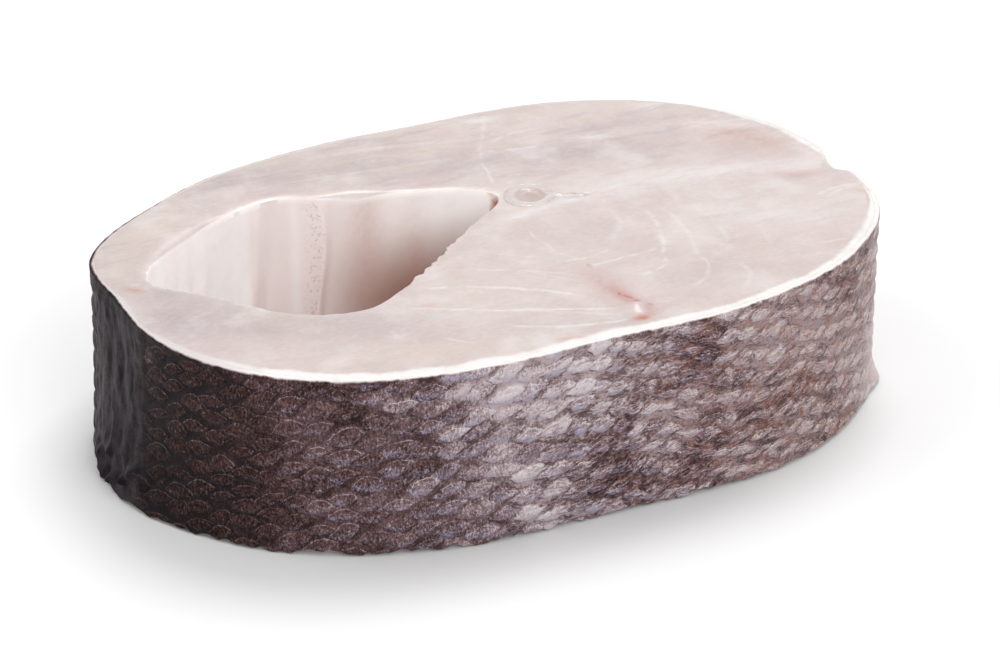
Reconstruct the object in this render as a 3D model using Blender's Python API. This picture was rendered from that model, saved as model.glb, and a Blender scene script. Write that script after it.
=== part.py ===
# A raw fish steak, cut straight across a thick-bodied fish.
# One slab of flesh bends round the belly cavity, which is open from top to bottom.
# A band of scaly skin runs round the slab, and the backbone runs down through it.
#
# Metres, +Z up. The origin is at the middle of the flat underside.
# +X points to the back of the fish, -X to its belly, and +Y and -Y to its flanks.
import math

import bmesh
import bpy
import numpy as np

# The slab
slab_height = 0.038
half_length = 0.0742
half_width = 0.0477
squareness = 2.25
outline_middle = 0.0017
# (order, cosine share, sine share) of the slow swells of the outline
outline_swells = ((1, 0.0033, -0.0006), (2, 0.010, 0.0109), (3, 0.0012, -0.0091), (4, -0.0168, -0.0085))
neighbour_gap = 0.0003

# (angle, reach, amount) of the corners of the outline: the belly's far side and
# the back's near side
outline_corners = (
    (math.radians(166), math.radians(9), 0.0036),
    (math.radians(-15), math.radians(9), 0.0010),
)

# (angle, reach, amount) of where the foot of the wall spreads or draws in: it
# spreads most under the belly, where the thin flaps sag
foot_swells = (
    (math.radians(-178), math.radians(13), 0.0044),
    (math.radians(-134), math.radians(26), -0.0016),
    (math.radians(-40), math.radians(18), 0.0009),
)
foot_power = 2.0

# The skin, with the fat below it, is thickest on the near flank
skin_thin = 0.0016
skin_swells = ((math.radians(-52), math.radians(52), 0.0019),)
skin_foot = 0.0004
foot_raggedness = 0.0006
foot_beats = (10.0, 23.0, 31.0)
rim_round = 0.0009

# Scales stand out as lozenges, two columns and one row of vertices to a scale
scale_columns = 76
scale_rows = 15
scale_relief = 0.00045
# the belly's skin has upright wrinkles in place of scales
wrinkle_relief = 0.0009
wrinkle_beats = (2.2, 1.3)
wrinkle_angle = math.radians(16)
wrinkle_end_angle = math.radians(27)

# A loose lip of skin curls outwards low on the back's near side
lip_angle = math.radians(-18)
lip_reach = math.radians(5)
lip_height = 0.009
lip_curl = 0.0024

# The belly cavity, as points on its rim, from the belly along the near flap to
# the tip at the backbone and back along the far flap
cavity_middle = (-0.0259, 0.004)
cavity_rim = (
    (-0.0634, 0.0047), (-0.0549, -0.0039), (-0.0468, -0.0126), (-0.0389, -0.0177),
    (-0.0299, -0.0188), (-0.0221, -0.0142), (-0.0120, -0.0063), (-0.0032, 0.0022),
    (0.0044, 0.0080), (0.0065, 0.0110), (0.0066, 0.0143), (0.0026, 0.0180),
    (-0.0096, 0.0216), (-0.0239, 0.0252), (-0.0320, 0.0280), (-0.0424, 0.0254),
    (-0.0550, 0.0182), (-0.0622, 0.0116),
)
# the near edge crumbled between these two places
crag_depth = 0.0005
crag_from, crag_to = -0.025, 0.004
near_turn = 0.2
crag_fade = 0.008
crag_beats = (1100.0, 1900.0, 700.0)
crag_share_below = 0.35
# the rim is crisp, and rounder along the far flap
crisp_lip = 0.0004
soft_lip = 0.0016
soft_lip_across = (0.009, 0.016)
soft_lip_along = (-0.020, -0.004)

# The cut face dips along the middle of the back, down to a notch in the outline
notch_depth = 0.0013
notch_side = 0.0012
notch_reach = 0.0026
notch_from, notch_to = 0.046, 0.072
furrow_reach = 0.0042
face_sag = 0.0004
sag_beats_along = (90.0, 153.0)
sag_turn_across = 1.55

# The backbone: an oval vertebra with a thin neural spine towards the back
bone_middle = (0.0133, 0.0105)
bone_half_length = 0.0048
bone_half_width = 0.0045
spine_angle = math.radians(-21.9)
spine_length = 0.0068
spine_spread = 0.075
spine_gap_reach = 0.010
bone_rim = 0.0003
bone_dish = 0.0004
bone_segments = 96
hole_overshoot = 0.005

# How finely the slab is laid out
flesh_columns = 120
dense_steps = 1440
rim_steps = 24
wall_levels = (0.03, 0.22, 0.45, 0.68, 0.88, 0.985)
lip_distances = (0.0035, 0.0018, 0.0007)
face_shares = (0.04, 0.16, 0.30, 0.45, 0.60, 0.75, 0.89)
cavity_levels = (0.985, 0.80, 0.60, 0.40, 0.20, 0.03)
underside_shares = (0.02, 0.35, 0.68, 0.985)
skin_rim_shares = ((0.35, 0.25), (0.98, 0.0))
skin_back_levels = (0.62, 0.28)


def clear_scene():
    for old in list(bpy.data.objects):
        bpy.data.objects.remove(old, do_unlink=True)


def make_collection(name):
    made = bpy.data.collections.new(name)
    bpy.context.scene.collection.children.link(made)
    return made


def move_to(thing, collection):
    for holder in list(thing.users_collection):
        holder.objects.unlink(thing)
    collection.objects.link(thing)


def make_material(name, colour, roughness):
    made = bpy.data.materials.new(name)
    made.use_nodes = True
    shader = made.node_tree.nodes["Principled BSDF"]
    shader.inputs["Base Color"].default_value = (*colour, 1.0)
    shader.inputs["Roughness"].default_value = roughness
    shader.inputs["Metallic"].default_value = 0.0
    return made


def smooth_ramp(value, low, high):
    share = np.clip((np.asarray(value) - low) / (high - low), 0.0, 1.0)
    return share * share * (3 - 2 * share)


def bell(value, middle, reach):
    return np.exp(-(((np.asarray(value) - middle) / reach) ** 2))


def turn_between(angle, middle):
    # signed difference of two angles, the short way round
    return np.angle(np.exp(1j * (np.asarray(angle) - middle)))


def swelling(angle, humps):
    # the height of a row of humps at an angle, each (angle, reach, amount)
    return sum(amount * bell(turn_between(angle, middle), 0.0, reach)
               for middle, reach, amount in humps)


def wave(along, beats):
    # an uneven ripple between -1 and 1, from a few unrelated beats
    total = sum(np.sin(beat * along + 1.7 * index) for index, beat in enumerate(beats))
    return total / len(beats)


# The outline of the cut face, seen from above, and its inward normal


def outline_points(angle):
    reach = (np.abs(np.cos(angle) / half_length) ** squareness
             + np.abs(np.sin(angle) / half_width) ** squareness) ** (-1 / squareness)
    swell = 1.0
    for order, cosine, sine in outline_swells:
        swell = swell + cosine * np.cos(order * angle) + sine * np.sin(order * angle)
    notch = notch_depth * bell(turn_between(angle, 0.0) * half_length, notch_side, notch_reach)
    reach = reach * swell + swelling(angle, outline_corners) - notch
    return np.stack([outline_middle + reach * np.cos(angle), reach * np.sin(angle)], axis=-1)


def outline_inwards(angle):
    step = math.tau / (4 * dense_steps)
    along = outline_points(angle + step) - outline_points(angle - step)
    along = along / np.linalg.norm(along, axis=-1, keepdims=True)
    return np.stack([-along[..., 1], along[..., 0]], axis=-1)


def skin_thickness(angle):
    return skin_thin + swelling(angle, skin_swells)


def wall_ring(angle, inset, level):
    # the wall at a share of the slab's height, moved in by the inset
    spread = swelling(angle, foot_swells) * np.clip(1 - np.asarray(level), 0.0, 1.0) ** foot_power
    return outline_points(angle) + outline_inwards(angle) * np.asarray(inset - spread)[..., None]


# The rim of the belly cavity


def rounded_loop(points, steps):
    # a smooth closed curve through the points
    corner = np.array(points)
    before, after = np.roll(corner, 1, axis=0), np.roll(corner, -1, axis=0)
    beyond = np.roll(corner, -2, axis=0)
    share = np.linspace(0, 1, steps, endpoint=False)[:, None, None]
    curve = 0.5 * (2 * corner + (after - before) * share
                   + (2 * before - 5 * corner + 4 * after - beyond) * share ** 2
                   + (3 * corner - before - 3 * after + beyond) * share ** 3)
    return curve.transpose(1, 0, 2).reshape(-1, 2)


def cavity_reach(angle):
    loop = rounded_loop(cavity_rim, rim_steps) - np.array(cavity_middle)
    turned = np.arctan2(loop[:, 1], loop[:, 0])
    order = np.argsort(turned)
    return np.interp(angle, turned[order], np.hypot(loop[order, 0], loop[order, 1]),
                     period=math.tau)


def cavity_ring(angle, level):
    middle = np.array(cavity_middle)
    reach = cavity_reach(angle)
    ray = np.stack([np.cos(angle), np.sin(angle)], axis=-1)
    along = middle[0] + reach * ray[..., 0]
    near = (ray[..., 1] < near_turn) * smooth_ramp(along, crag_from, crag_from + crag_fade)
    near = near * (1 - smooth_ramp(along, crag_to - crag_fade, crag_to))
    fade = crag_share_below + (1 - crag_share_below) * level
    crags = crag_depth * fade * near * wave(along, crag_beats)
    return middle + ray * (reach + crags)[..., None]


def lip_drop(points):
    far = smooth_ramp(points[..., 1], *soft_lip_across)
    far = far * (1 - smooth_ramp(points[..., 0], *soft_lip_along))
    return crisp_lip + (soft_lip - crisp_lip) * far


def face_height(points):
    # the cut face: nearly flat, with slow sags and the furrow over the back
    x, y = points[..., 0], points[..., 1]
    furrow = notch_depth * bell(y, notch_side, furrow_reach) * smooth_ramp(x, notch_from, notch_to)
    sag = face_sag * (0.5 + 0.5 * wave(x + y * sag_turn_across, sag_beats_along))
    return slab_height - furrow - sag


# Solids


def torus_solid(name, columns, rows, corners):
    # corners[column, row] holds the place of each vertex of a closed ring
    bpy.ops.mesh.primitive_torus_add(major_segments=columns, minor_segments=rows,
                                     major_radius=1.0, minor_radius=0.25)
    made = bpy.context.object
    made.name = name
    made.data.name = name
    made.data.vertices.foreach_set("co", np.ascontiguousarray(corners, dtype=np.float32).ravel())
    made.data.update()
    return made


def finish_solid(made, collection, material, sharp_degrees):
    move_to(made, collection)
    made.data.materials.clear()
    made.data.materials.append(material)
    made.data.shade_smooth()
    made.data.set_sharp_from_angle(angle=math.radians(sharp_degrees))
    return made


def at_height(points, height):
    flat = np.asarray(points)
    tall = np.broadcast_to(np.asarray(height, dtype=float), flat.shape[:-1])
    return np.concatenate([flat, tall[..., None]], axis=-1)


def flesh_wall(angle, level):
    return wall_ring(angle, skin_thickness(angle) + neighbour_gap, level)


def flesh_angles():
    # the slab's columns fan out from the middle of the cavity, spaced half by
    # angle there and half by length along the outer wall
    around = np.linspace(-math.pi, math.pi, dense_steps, endpoint=False)
    wall = flesh_wall(around, 1.0)
    seen = np.unwrap(np.arctan2(wall[:, 1] - cavity_middle[1], wall[:, 0] - cavity_middle[0]))
    step = np.linalg.norm(np.diff(wall, axis=0, append=wall[:1]), axis=1)
    length = np.concatenate([[0.0], np.cumsum(step)])
    seen = np.append(seen, seen[0] + math.tau)
    around = np.append(around, math.pi)
    spread = 0.5 * (seen - seen[0]) / math.tau + 0.5 * length / length[-1]
    wanted = np.linspace(0, 1, flesh_columns, endpoint=False)
    return np.interp(wanted, spread, around), np.interp(wanted, spread, seen)


def make_flesh(collection, material):
    wall_angle, cavity_angle = flesh_angles()
    rim = cavity_ring(cavity_angle, 1.0)
    wall_top = flesh_wall(wall_angle, 1.0)
    rows = [at_height(flesh_wall(wall_angle, level), slab_height * level) for level in wall_levels]
    outward = wall_top - rim
    span = np.linalg.norm(outward, axis=-1, keepdims=True)
    face_span = span - lip_distances[0]
    for share in face_shares:
        spot = rim + outward / span * (lip_distances[0] + face_span * (1 - share))
        rows.append(at_height(spot, face_height(spot)))
    for index, distance in enumerate(lip_distances):
        spot = rim + outward / span * distance
        drop = lip_drop(spot) * (index / len(lip_distances)) ** 2
        rows.append(at_height(spot, face_height(spot) - drop))
    rows.append(at_height(rim, face_height(rim) - lip_drop(rim)))
    for level in cavity_levels[1:]:
        rows.append(at_height(cavity_ring(cavity_angle, level), slab_height * level))
    foot_wall = flesh_wall(wall_angle, 0.0)
    foot_rim = cavity_ring(cavity_angle, 0.0)
    for share in underside_shares:
        rows.append(at_height(foot_rim + (foot_wall - foot_rim) * share, 0.0))
    corners = np.stack(rows, axis=1)
    made = torus_solid("flesh", flesh_columns, len(rows), corners)
    return finish_solid(made, collection, material, 40)


def make_skin(collection, material):
    columns = 2 * scale_columns
    angle = even_wall_angles(columns)
    belly = 1 - smooth_ramp(np.abs(turn_between(angle, math.pi)), wrinkle_angle, wrinkle_end_angle)
    wrinkles = wrinkle_relief * (0.5 + 0.5 * wave(np.arange(columns), wrinkle_beats))
    lip = lip_curl * bell(turn_between(angle, lip_angle), 0.0, lip_reach)
    foot = skin_foot + foot_raggedness * (0.5 + 0.5 * wave(angle, foot_beats))
    rim = slab_height - rim_round
    rows = []
    for row in range(scale_rows):
        share = row / (scale_rows - 1)
        height = foot + (rim - foot) * share
        lozenge = scale_relief * ((np.arange(columns) + row) % 2) * (row < scale_rows - 1)
        inset = lozenge * (1 - belly) + wrinkles * belly
        inset = inset - lip * (1 - smooth_ramp(height, 0.0, lip_height))
        rows.append(at_height(wall_ring(angle, inset, height / slab_height), height))
    thick = skin_thickness(angle)
    for share, drop in skin_rim_shares:
        spot = wall_ring(angle, share * thick, 1.0)
        rows.append(at_height(spot, face_height(spot) - drop * rim_round))
    for level in skin_back_levels:
        rows.append(at_height(wall_ring(angle, thick, level), slab_height * level))
    rows.append(at_height(wall_ring(angle, thick, 0.0), foot))
    corners = np.stack(rows, axis=1)
    made = torus_solid("skin", columns, len(rows), corners)
    return finish_solid(made, collection, material, 50)


def even_wall_angles(columns):
    # angles that space the columns evenly along the outer wall
    around = np.linspace(-math.pi, math.pi, dense_steps, endpoint=False)
    wall = outline_points(around)
    step = np.linalg.norm(np.diff(wall, axis=0, append=wall[:1]), axis=1)
    length = np.concatenate([[0.0], np.cumsum(step)])
    wanted = np.linspace(0, length[-1], columns, endpoint=False)
    return np.interp(wanted, length, np.append(around, math.pi))


def bone_outline(grown):
    angle = np.linspace(0, math.tau, bone_segments, endpoint=False)
    oval = bone_half_length * bone_half_width / np.hypot(
        bone_half_width * np.cos(angle), bone_half_length * np.sin(angle))
    spread = spine_spread + grown / spine_gap_reach
    reach = oval + grown + spine_length * bell(turn_between(angle, spine_angle), 0.0, spread)
    return np.array(bone_middle) + np.stack([reach * np.cos(angle), reach * np.sin(angle)], axis=-1)


def bone_prism(name, grown, low, high, collection):
    shape = bmesh.new()
    bmesh.ops.create_circle(shape, cap_ends=True, radius=1.0, segments=bone_segments)
    shape.verts.ensure_lookup_table()
    for vertex, (x, y) in zip(shape.verts, bone_outline(grown)):
        vertex.co = (x, y, low)
    raised = bmesh.ops.extrude_face_region(shape, geom=shape.faces[:])
    tops = [item for item in raised["geom"] if isinstance(item, bmesh.types.BMVert)]
    bmesh.ops.translate(shape, verts=tops, vec=(0, 0, high - low))
    bmesh.ops.recalc_face_normals(shape, faces=shape.faces[:])
    mesh = bpy.data.meshes.new(name)
    shape.to_mesh(mesh)
    shape.free()
    made = bpy.data.objects.new(name, mesh)
    collection.objects.link(made)
    return made


def make_backbone(collection, material):
    made = bone_prism("backbone", 0.0, neighbour_gap, slab_height - neighbour_gap, collection)
    shape = bmesh.new()
    shape.from_mesh(made.data)
    top = max(shape.faces, key=lambda face: face.calc_center_median().z)
    bmesh.ops.inset_region(shape, faces=[top], thickness=bone_rim, use_even_offset=True)
    bmesh.ops.translate(shape, verts=top.verts[:], vec=(0, 0, -bone_dish))
    shape.to_mesh(made.data)
    shape.free()
    made.data.materials.append(material)
    made.data.shade_smooth()
    made.data.set_sharp_from_angle(angle=math.radians(40))
    return made


def cut_bone_hole(flesh, collection):
    cutter = bone_prism("bone_hole", neighbour_gap, -hole_overshoot, slab_height + hole_overshoot,
                        collection)
    cutter.hide_render = True
    cutter.display_type = "WIRE"
    hole = flesh.modifiers.new("bone hole", "BOOLEAN")
    hole.operation = "DIFFERENCE"
    hole.solver = "EXACT"
    hole.object = cutter


def main():
    clear_scene()
    parts = make_collection("raw fish steak")
    cutters = make_collection("cutters")
    raw_flesh = make_material("raw flesh", (0.80, 0.71, 0.68), 0.35)
    dark_skin = make_material("scaly skin", (0.13, 0.09, 0.09), 0.45)
    pale_bone = make_material("bone", (0.82, 0.77, 0.75), 0.45)
    flesh = make_flesh(parts, raw_flesh)
    cut_bone_hole(flesh, cutters)
    make_skin(parts, dark_skin)
    make_backbone(parts, pale_bone)


main()
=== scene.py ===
import math

import bmesh
import bpy
import numpy as np
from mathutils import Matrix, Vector


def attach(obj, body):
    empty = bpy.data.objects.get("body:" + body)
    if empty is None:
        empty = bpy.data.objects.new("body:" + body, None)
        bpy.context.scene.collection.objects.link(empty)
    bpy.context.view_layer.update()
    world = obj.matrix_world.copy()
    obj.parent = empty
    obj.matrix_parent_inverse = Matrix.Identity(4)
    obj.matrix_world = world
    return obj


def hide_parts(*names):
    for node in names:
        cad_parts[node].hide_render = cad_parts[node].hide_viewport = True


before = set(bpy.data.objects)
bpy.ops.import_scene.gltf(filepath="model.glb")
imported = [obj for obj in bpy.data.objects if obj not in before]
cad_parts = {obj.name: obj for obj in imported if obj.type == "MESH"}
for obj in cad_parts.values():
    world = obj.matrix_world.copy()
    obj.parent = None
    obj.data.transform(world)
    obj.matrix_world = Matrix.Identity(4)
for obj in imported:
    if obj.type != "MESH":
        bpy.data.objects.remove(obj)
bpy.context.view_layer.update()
print("frame loaded:", sorted(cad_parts))

# Form of the slab, in metres and degrees: the same values as the solids
slab = dict(
    height=0.038,
    halfLength=0.0742,
    halfWidth=0.0477,
    squareness=2.25,
    middle=0.0017,
    swells=((1, 0.0033, -0.0006), (2, 0.010, 0.0109), (3, 0.0012, -0.0091), (4, -0.0168, -0.0085)),
    corners=((166, 9, 0.0036), (-15, 9, 0.0010)),
    footSwells=((-178, 13, 0.0044), (-134, 26, -0.0016), (-40, 18, 0.0009)),
    footPower=2.0,
    notchDepth=0.0013,
    notchSide=0.0012,
    notchReach=0.0026,
    notchFrom=0.046,
    notchTo=0.072,
    furrowReach=0.0042,
    sag=0.0004,
    sagBeats=(90.0, 153.0),
    sagTurn=1.55,
)

# how finely the outline's direction and length are measured, and how close welded edges lie
fine = dict(turn=math.tau / 5760, steps=2880, weld=0.000002)

# the skin with its fat, thickest on the near flank
skinBand = dict(thin=0.0016, swells=((-52, 52, 0.0019),))

# the cavity as in the solids, but with a sharper point and a soft far edge of its own
cavity = dict(
    middle=(-0.0259, 0.004),
    rim=(
        (-0.0634, 0.0047), (-0.0549, -0.0039), (-0.0468, -0.0126), (-0.0389, -0.0177),
        (-0.0299, -0.0188), (-0.0221, -0.0142), (-0.0120, -0.0063), (-0.0032, 0.0022),
        (0.0046, 0.0080), (0.0075, 0.0112), (0.0076, 0.0140), (0.0026, 0.0180),
        (-0.0096, 0.0216), (-0.0239, 0.0252), (-0.0320, 0.0280), (-0.0424, 0.0254),
        (-0.0550, 0.0182), (-0.0622, 0.0116),
    ),
    steps=24,
    cragDepth=0.0005,
    cragFrom=-0.025,
    cragTo=0.004,
    cragFade=0.008,
    cragBeats=(1100.0, 1900.0, 700.0),
    cragBelow=0.35,
    nearTurn=0.2,
    crisp=0.0004,
    soft=0.0014,
    softAcross=(0.009, 0.016),
    softPlaces=((-0.0175, 0.0050), (-0.054, 0.0075)),
)


def smoothRamp(value, low, high):
    share = np.clip((np.asarray(value) - low) / (high - low), 0.0, 1.0)
    return share * share * (3 - 2 * share)


def bell(value, middle, reach):
    return np.exp(-(((np.asarray(value) - middle) / reach) ** 2))


def turnBetween(angle, middle):
    return np.angle(np.exp(1j * (np.asarray(angle) - middle)))


def turnBell(angle, middle, reach):
    # a bell round a direction in degrees, its reach in radians
    return bell(turnBetween(angle, math.radians(middle)), 0.0, reach)


def swelling(angle, humps):
    return sum(amount * turnBell(angle, middle, math.radians(reach)) for middle, reach, amount in humps)


def wave(along, beats):
    return sum(np.sin(beat * along + 1.7 * index) for index, beat in enumerate(beats)) / len(beats)


noiseCells = 64
noiseTable = np.random.default_rng(11).random((noiseCells, noiseCells, noiseCells))


def softNoise(points, size):
    # smooth noise between -1 and 1, in lumps about one size across
    spot = np.asarray(points) / size
    cell = np.floor(spot).astype(int)
    share = spot - cell
    share = share * share * (3 - 2 * share)
    total = 0.0
    for corner in np.ndindex(2, 2, 2):
        index = np.moveaxis((cell + np.array(corner)) % noiseCells, -1, 0)
        weight = np.prod(np.where(np.array(corner), share, 1 - share), axis=-1)
        total = total + weight * noiseTable[tuple(index)]
    return 2 * total - 1


def layeredNoise(points, layers):
    # the (amount, size) of each layer of lumps
    return sum(amount * softNoise(points, size) for amount, size in layers)


def outlinePoints(angle):
    # a rounded oval with slow swells, two corners and the notch at the back
    reach = (np.abs(np.cos(angle) / slab["halfLength"]) ** slab["squareness"]
             + np.abs(np.sin(angle) / slab["halfWidth"]) ** slab["squareness"])
    reach = reach ** (-1 / slab["squareness"])
    swell = 1.0
    for order, cosine, sine in slab["swells"]:
        swell = swell + cosine * np.cos(order * angle) + sine * np.sin(order * angle)
    across = turnBetween(angle, 0.0) * slab["halfLength"]
    notch = slab["notchDepth"] * bell(across, slab["notchSide"], slab["notchReach"])
    reach = reach * swell + swelling(angle, slab["corners"]) - notch
    return np.stack([slab["middle"] + reach * np.cos(angle), reach * np.sin(angle)], axis=-1)


def outlineInwards(angle):
    along = outlinePoints(angle + fine["turn"]) - outlinePoints(angle - fine["turn"])
    along = along / np.linalg.norm(along, axis=-1, keepdims=True)
    return np.stack([-along[..., 1], along[..., 0]], axis=-1)


def skinThickness(angle):
    return skinBand["thin"] + swelling(angle, skinBand["swells"])


def wallRing(angle, inset, level):
    # the wall at a share of the slab's height, moved in by the inset
    lower = np.clip(1 - np.asarray(level), 0.0, 1.0) ** slab["footPower"]
    spread = swelling(angle, slab["footSwells"]) * lower
    return outlinePoints(angle) + outlineInwards(angle) * np.asarray(inset - spread)[..., None]


def roundedLoop(points, steps):
    # a smooth closed curve through the points
    corner = np.array(points)
    before, after = np.roll(corner, 1, axis=0), np.roll(corner, -1, axis=0)
    beyond = np.roll(corner, -2, axis=0)
    share = np.linspace(0, 1, steps, endpoint=False)[:, None, None]
    curve = 0.5 * (2 * corner + (after - before) * share
                   + (2 * before - 5 * corner + 4 * after - beyond) * share ** 2
                   + (3 * corner - before - 3 * after + beyond) * share ** 3)
    return curve.transpose(1, 0, 2).reshape(-1, 2)


def cavityReach(angle):
    loop = roundedLoop(cavity["rim"], cavity["steps"]) - np.array(cavity["middle"])
    turned = np.arctan2(loop[:, 1], loop[:, 0])
    order = np.argsort(turned)
    return np.interp(angle, turned[order], np.hypot(loop[order, 0], loop[order, 1]), period=math.tau)


def nearEdge(along, across):
    # the stretch of the near edge that crumbled under the knife
    start, end, fade = cavity["cragFrom"], cavity["cragTo"], cavity["cragFade"]
    near = (across < cavity["nearTurn"]) * smoothRamp(along, start, start + fade)
    return near * (1 - smoothRamp(along, end - fade, end))


def cavityRing(angle, level):
    middle = np.array(cavity["middle"])
    reach = cavityReach(angle)
    ray = np.stack([np.cos(angle), np.sin(angle)], axis=-1)
    along = middle[0] + reach * ray[..., 0]
    fade = cavity["cragBelow"] + (1 - cavity["cragBelow"]) * level
    crags = cavity["cragDepth"] * fade * nearEdge(along, ray[..., 1]) * wave(along, cavity["cragBeats"])
    return middle + ray * (reach + crags)[..., None]


def lipDrop(points):
    # how far the cavity's lip rounds off downwards
    far = smoothRamp(points[..., 1], *cavity["softAcross"])
    far = far * sum(bell(points[..., 0], place, reach) for place, reach in cavity["softPlaces"])
    return cavity["crisp"] + (cavity["soft"] - cavity["crisp"]) * far


def faceHeight(points):
    # the cut face sags a little and dips in a furrow towards the notch
    x, y = points[..., 0], points[..., 1]
    furrow = slab["notchDepth"] * bell(y, slab["notchSide"], slab["furrowReach"])
    furrow = furrow * smoothRamp(x, slab["notchFrom"], slab["notchTo"])
    sag = slab["sag"] * (0.5 + 0.5 * wave(x + y * slab["sagTurn"], slab["sagBeats"]))
    return slab["height"] - furrow - sag


def atHeight(points, height):
    flat = np.asarray(points)
    tall = np.broadcast_to(np.asarray(height, dtype=float), flat.shape[:-1])
    return np.concatenate([flat, tall[..., None]], axis=-1)


def outlineLength():
    # length along the outline from the middle of the belly, at evenly spaced angles
    around = np.linspace(-math.pi, math.pi, fine["steps"] + 1)
    step = np.linalg.norm(np.diff(outlinePoints(around), axis=0), axis=1)
    return around, np.concatenate([[0.0], np.cumsum(step)])


# Laying a grid

def addObject(name, data):
    made = bpy.data.objects.new(name, data)
    bpy.context.scene.collection.objects.link(made)
    return made


def layGrid(name, places, fields):
    # a flat grid whose vertices move to places[column, row]; edges that meet are welded
    columns, rows = places.shape[0] - 1, places.shape[1] - 1
    bm = bmesh.new()
    bmesh.ops.create_grid(bm, x_segments=columns, y_segments=rows, size=1.0)
    mesh = bpy.data.meshes.new(name)
    bm.to_mesh(mesh)
    bm.free()
    flat = np.empty(len(mesh.vertices) * 3)
    mesh.vertices.foreach_get("co", flat)
    flat = flat.reshape(-1, 3)
    column = np.rint((flat[:, 0] + 1) / 2 * columns).astype(int)
    row = np.rint((flat[:, 1] + 1) / 2 * rows).astype(int)
    mesh.vertices.foreach_set("co", places[column, row].astype(np.float32).ravel())
    for title, field in fields.items():
        kind = "FLOAT_VECTOR" if field.ndim == 3 else "FLOAT"
        layer = mesh.attributes.new(title, kind, "POINT")
        layer.data.foreach_set("vector" if field.ndim == 3 else "value",
                               field[column, row].astype(np.float32).ravel())
    bm = bmesh.new()
    bm.from_mesh(mesh)
    bmesh.ops.remove_doubles(bm, verts=bm.verts[:], dist=fine["weld"])
    bmesh.ops.recalc_face_normals(bm, faces=bm.faces[:])
    bm.to_mesh(mesh)
    bm.free()
    mesh.shade_smooth()
    return addObject(name, mesh)


def closed(field):
    # with the first column and the first row again at the end
    for axis in (0, 1):
        field = np.concatenate([field, np.take(field, [0], axis=axis)], axis=axis)
    return field


def layRing(name, places, fields):
    return layGrid(name, closed(places), {title: closed(field) for title, field in fields.items()})


# Shader helpers

class Value:
    # a shader socket that takes plain arithmetic, and keeps its own node tree
    def __init__(self, socket):
        self.socket = socket
        self.tree = socket.id_data

    def __add__(self, other):
        return maths("ADD", self, other)

    def __sub__(self, other):
        return maths("SUBTRACT", self, other)

    def __rsub__(self, other):
        return maths("SUBTRACT", other, self)

    def __mul__(self, other):
        return maths("MULTIPLY", self, other)

    def __truediv__(self, other):
        return maths("DIVIDE", self, other)

    def __abs__(self):
        return maths("ABSOLUTE", self)


def plug(socket, value):
    if isinstance(value, Value):
        value.tree.links.new(value.socket, socket)
    else:
        socket.default_value = value


def fill(node, values):
    for name, value in values.items():
        plug(node.inputs[name], value)


def addNode(tree, kind, values=None, **settings):
    made = tree.nodes.new(kind)
    for name, value in settings.items():
        setattr(made, name, value)
    fill(made, values or {})
    return made


def maths(operation, *values, clamp=False):
    # numbers, or vectors and colours taken part by part
    given = [value for value in values if isinstance(value, Value)]
    if all(value.socket.type == "VALUE" for value in given):
        made = addNode(given[0].tree, "ShaderNodeMath", operation=operation, use_clamp=clamp)
        result = made.outputs[0]
    else:
        made = addNode(given[0].tree, "ShaderNodeVectorMath", operation=operation)
        result = made.outputs["Value" if operation in ("DISTANCE", "DOT_PRODUCT") else "Vector"]
    for index, value in enumerate(values):
        plug(made.inputs[index], value)
    return Value(result)


def highest(first, second):
    return maths("MAXIMUM", first, second)


def ramp(value, low, high, toLow=0.0, toHigh=1.0):
    made = addNode(value.tree, "ShaderNodeMapRange", {
        "Value": value, "From Min": low, "From Max": high, "To Min": toLow, "To Max": toHigh,
    }, interpolation_type="SMOOTHSTEP")
    return Value(made.outputs["Result"])


def tint(share, under, over):
    # inputs 0, 6 and 7 of this node are the factor and the two colours, output 2 the colour
    made = addNode(share.tree, "ShaderNodeMix", data_type="RGBA")
    for index, value in ((0, share), (6, under), (7, over)):
        plug(made.inputs[index], value)
    return Value(made.outputs[2])


def layered(base, *layers):
    # each layer's colour over the ones before it, by its share
    for share, shade in layers:
        base = tint(share, base, shade)
    return base


def noise(where, scale, detail=3.0, rough=0.55, output="Fac"):
    made = addNode(where.tree, "ShaderNodeTexNoise", {
        "Vector": where, "Scale": scale, "Detail": detail, "Roughness": rough})
    return Value(made.outputs[output])


def partsOf(vector):
    made = addNode(vector.tree, "ShaderNodeSeparateXYZ", {"Vector": vector})
    return [Value(output) for output in made.outputs]


def joined(x, y):
    return Value(addNode(x.tree, "ShaderNodeCombineXYZ", {"X": x, "Y": y}).outputs[0])


def attribute(tree, name, output="Fac"):
    return Value(addNode(tree, "ShaderNodeAttribute", attribute_name=name).outputs[output])


def bumped(height, strength, distance):
    made = addNode(height.tree, "ShaderNodeBump", {
        "Strength": strength, "Distance": distance, "Height": height})
    return Value(made.outputs["Normal"])


def newMaterial(name):
    made = bpy.data.materials.new(name)
    made.use_nodes = True
    tree = made.node_tree
    where = Value(addNode(tree, "ShaderNodeTexCoord").outputs["Object"])
    return made, tree, tree.nodes["Principled BSDF"], where


def newGroup(name, inputs, outputs):
    # each socket's name and kind; returns the group, its given values and its results
    group = bpy.data.node_groups.new(name, "ShaderNodeTree")
    for direction, sockets in (("INPUT", inputs), ("OUTPUT", outputs)):
        for title, kind in sockets.items():
            group.interface.new_socket(name=title, in_out=direction, socket_type="NodeSocket" + kind)
    given = addNode(group, "NodeGroupInput").outputs
    return group, {title: Value(given[title]) for title in inputs}, addNode(group, "NodeGroupOutput")


def useGroup(tree, group, values):
    made = addNode(tree, "ShaderNodeGroup", node_tree=group)
    fill(made, values)
    return {output.name: Value(output) for output in made.outputs}


# how much brighter than its own colour the studio light shows the skin, the flesh and the bone
studioLevel = 1.36
fleshLevel = 1.49
boneLevel = 1.56


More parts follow.
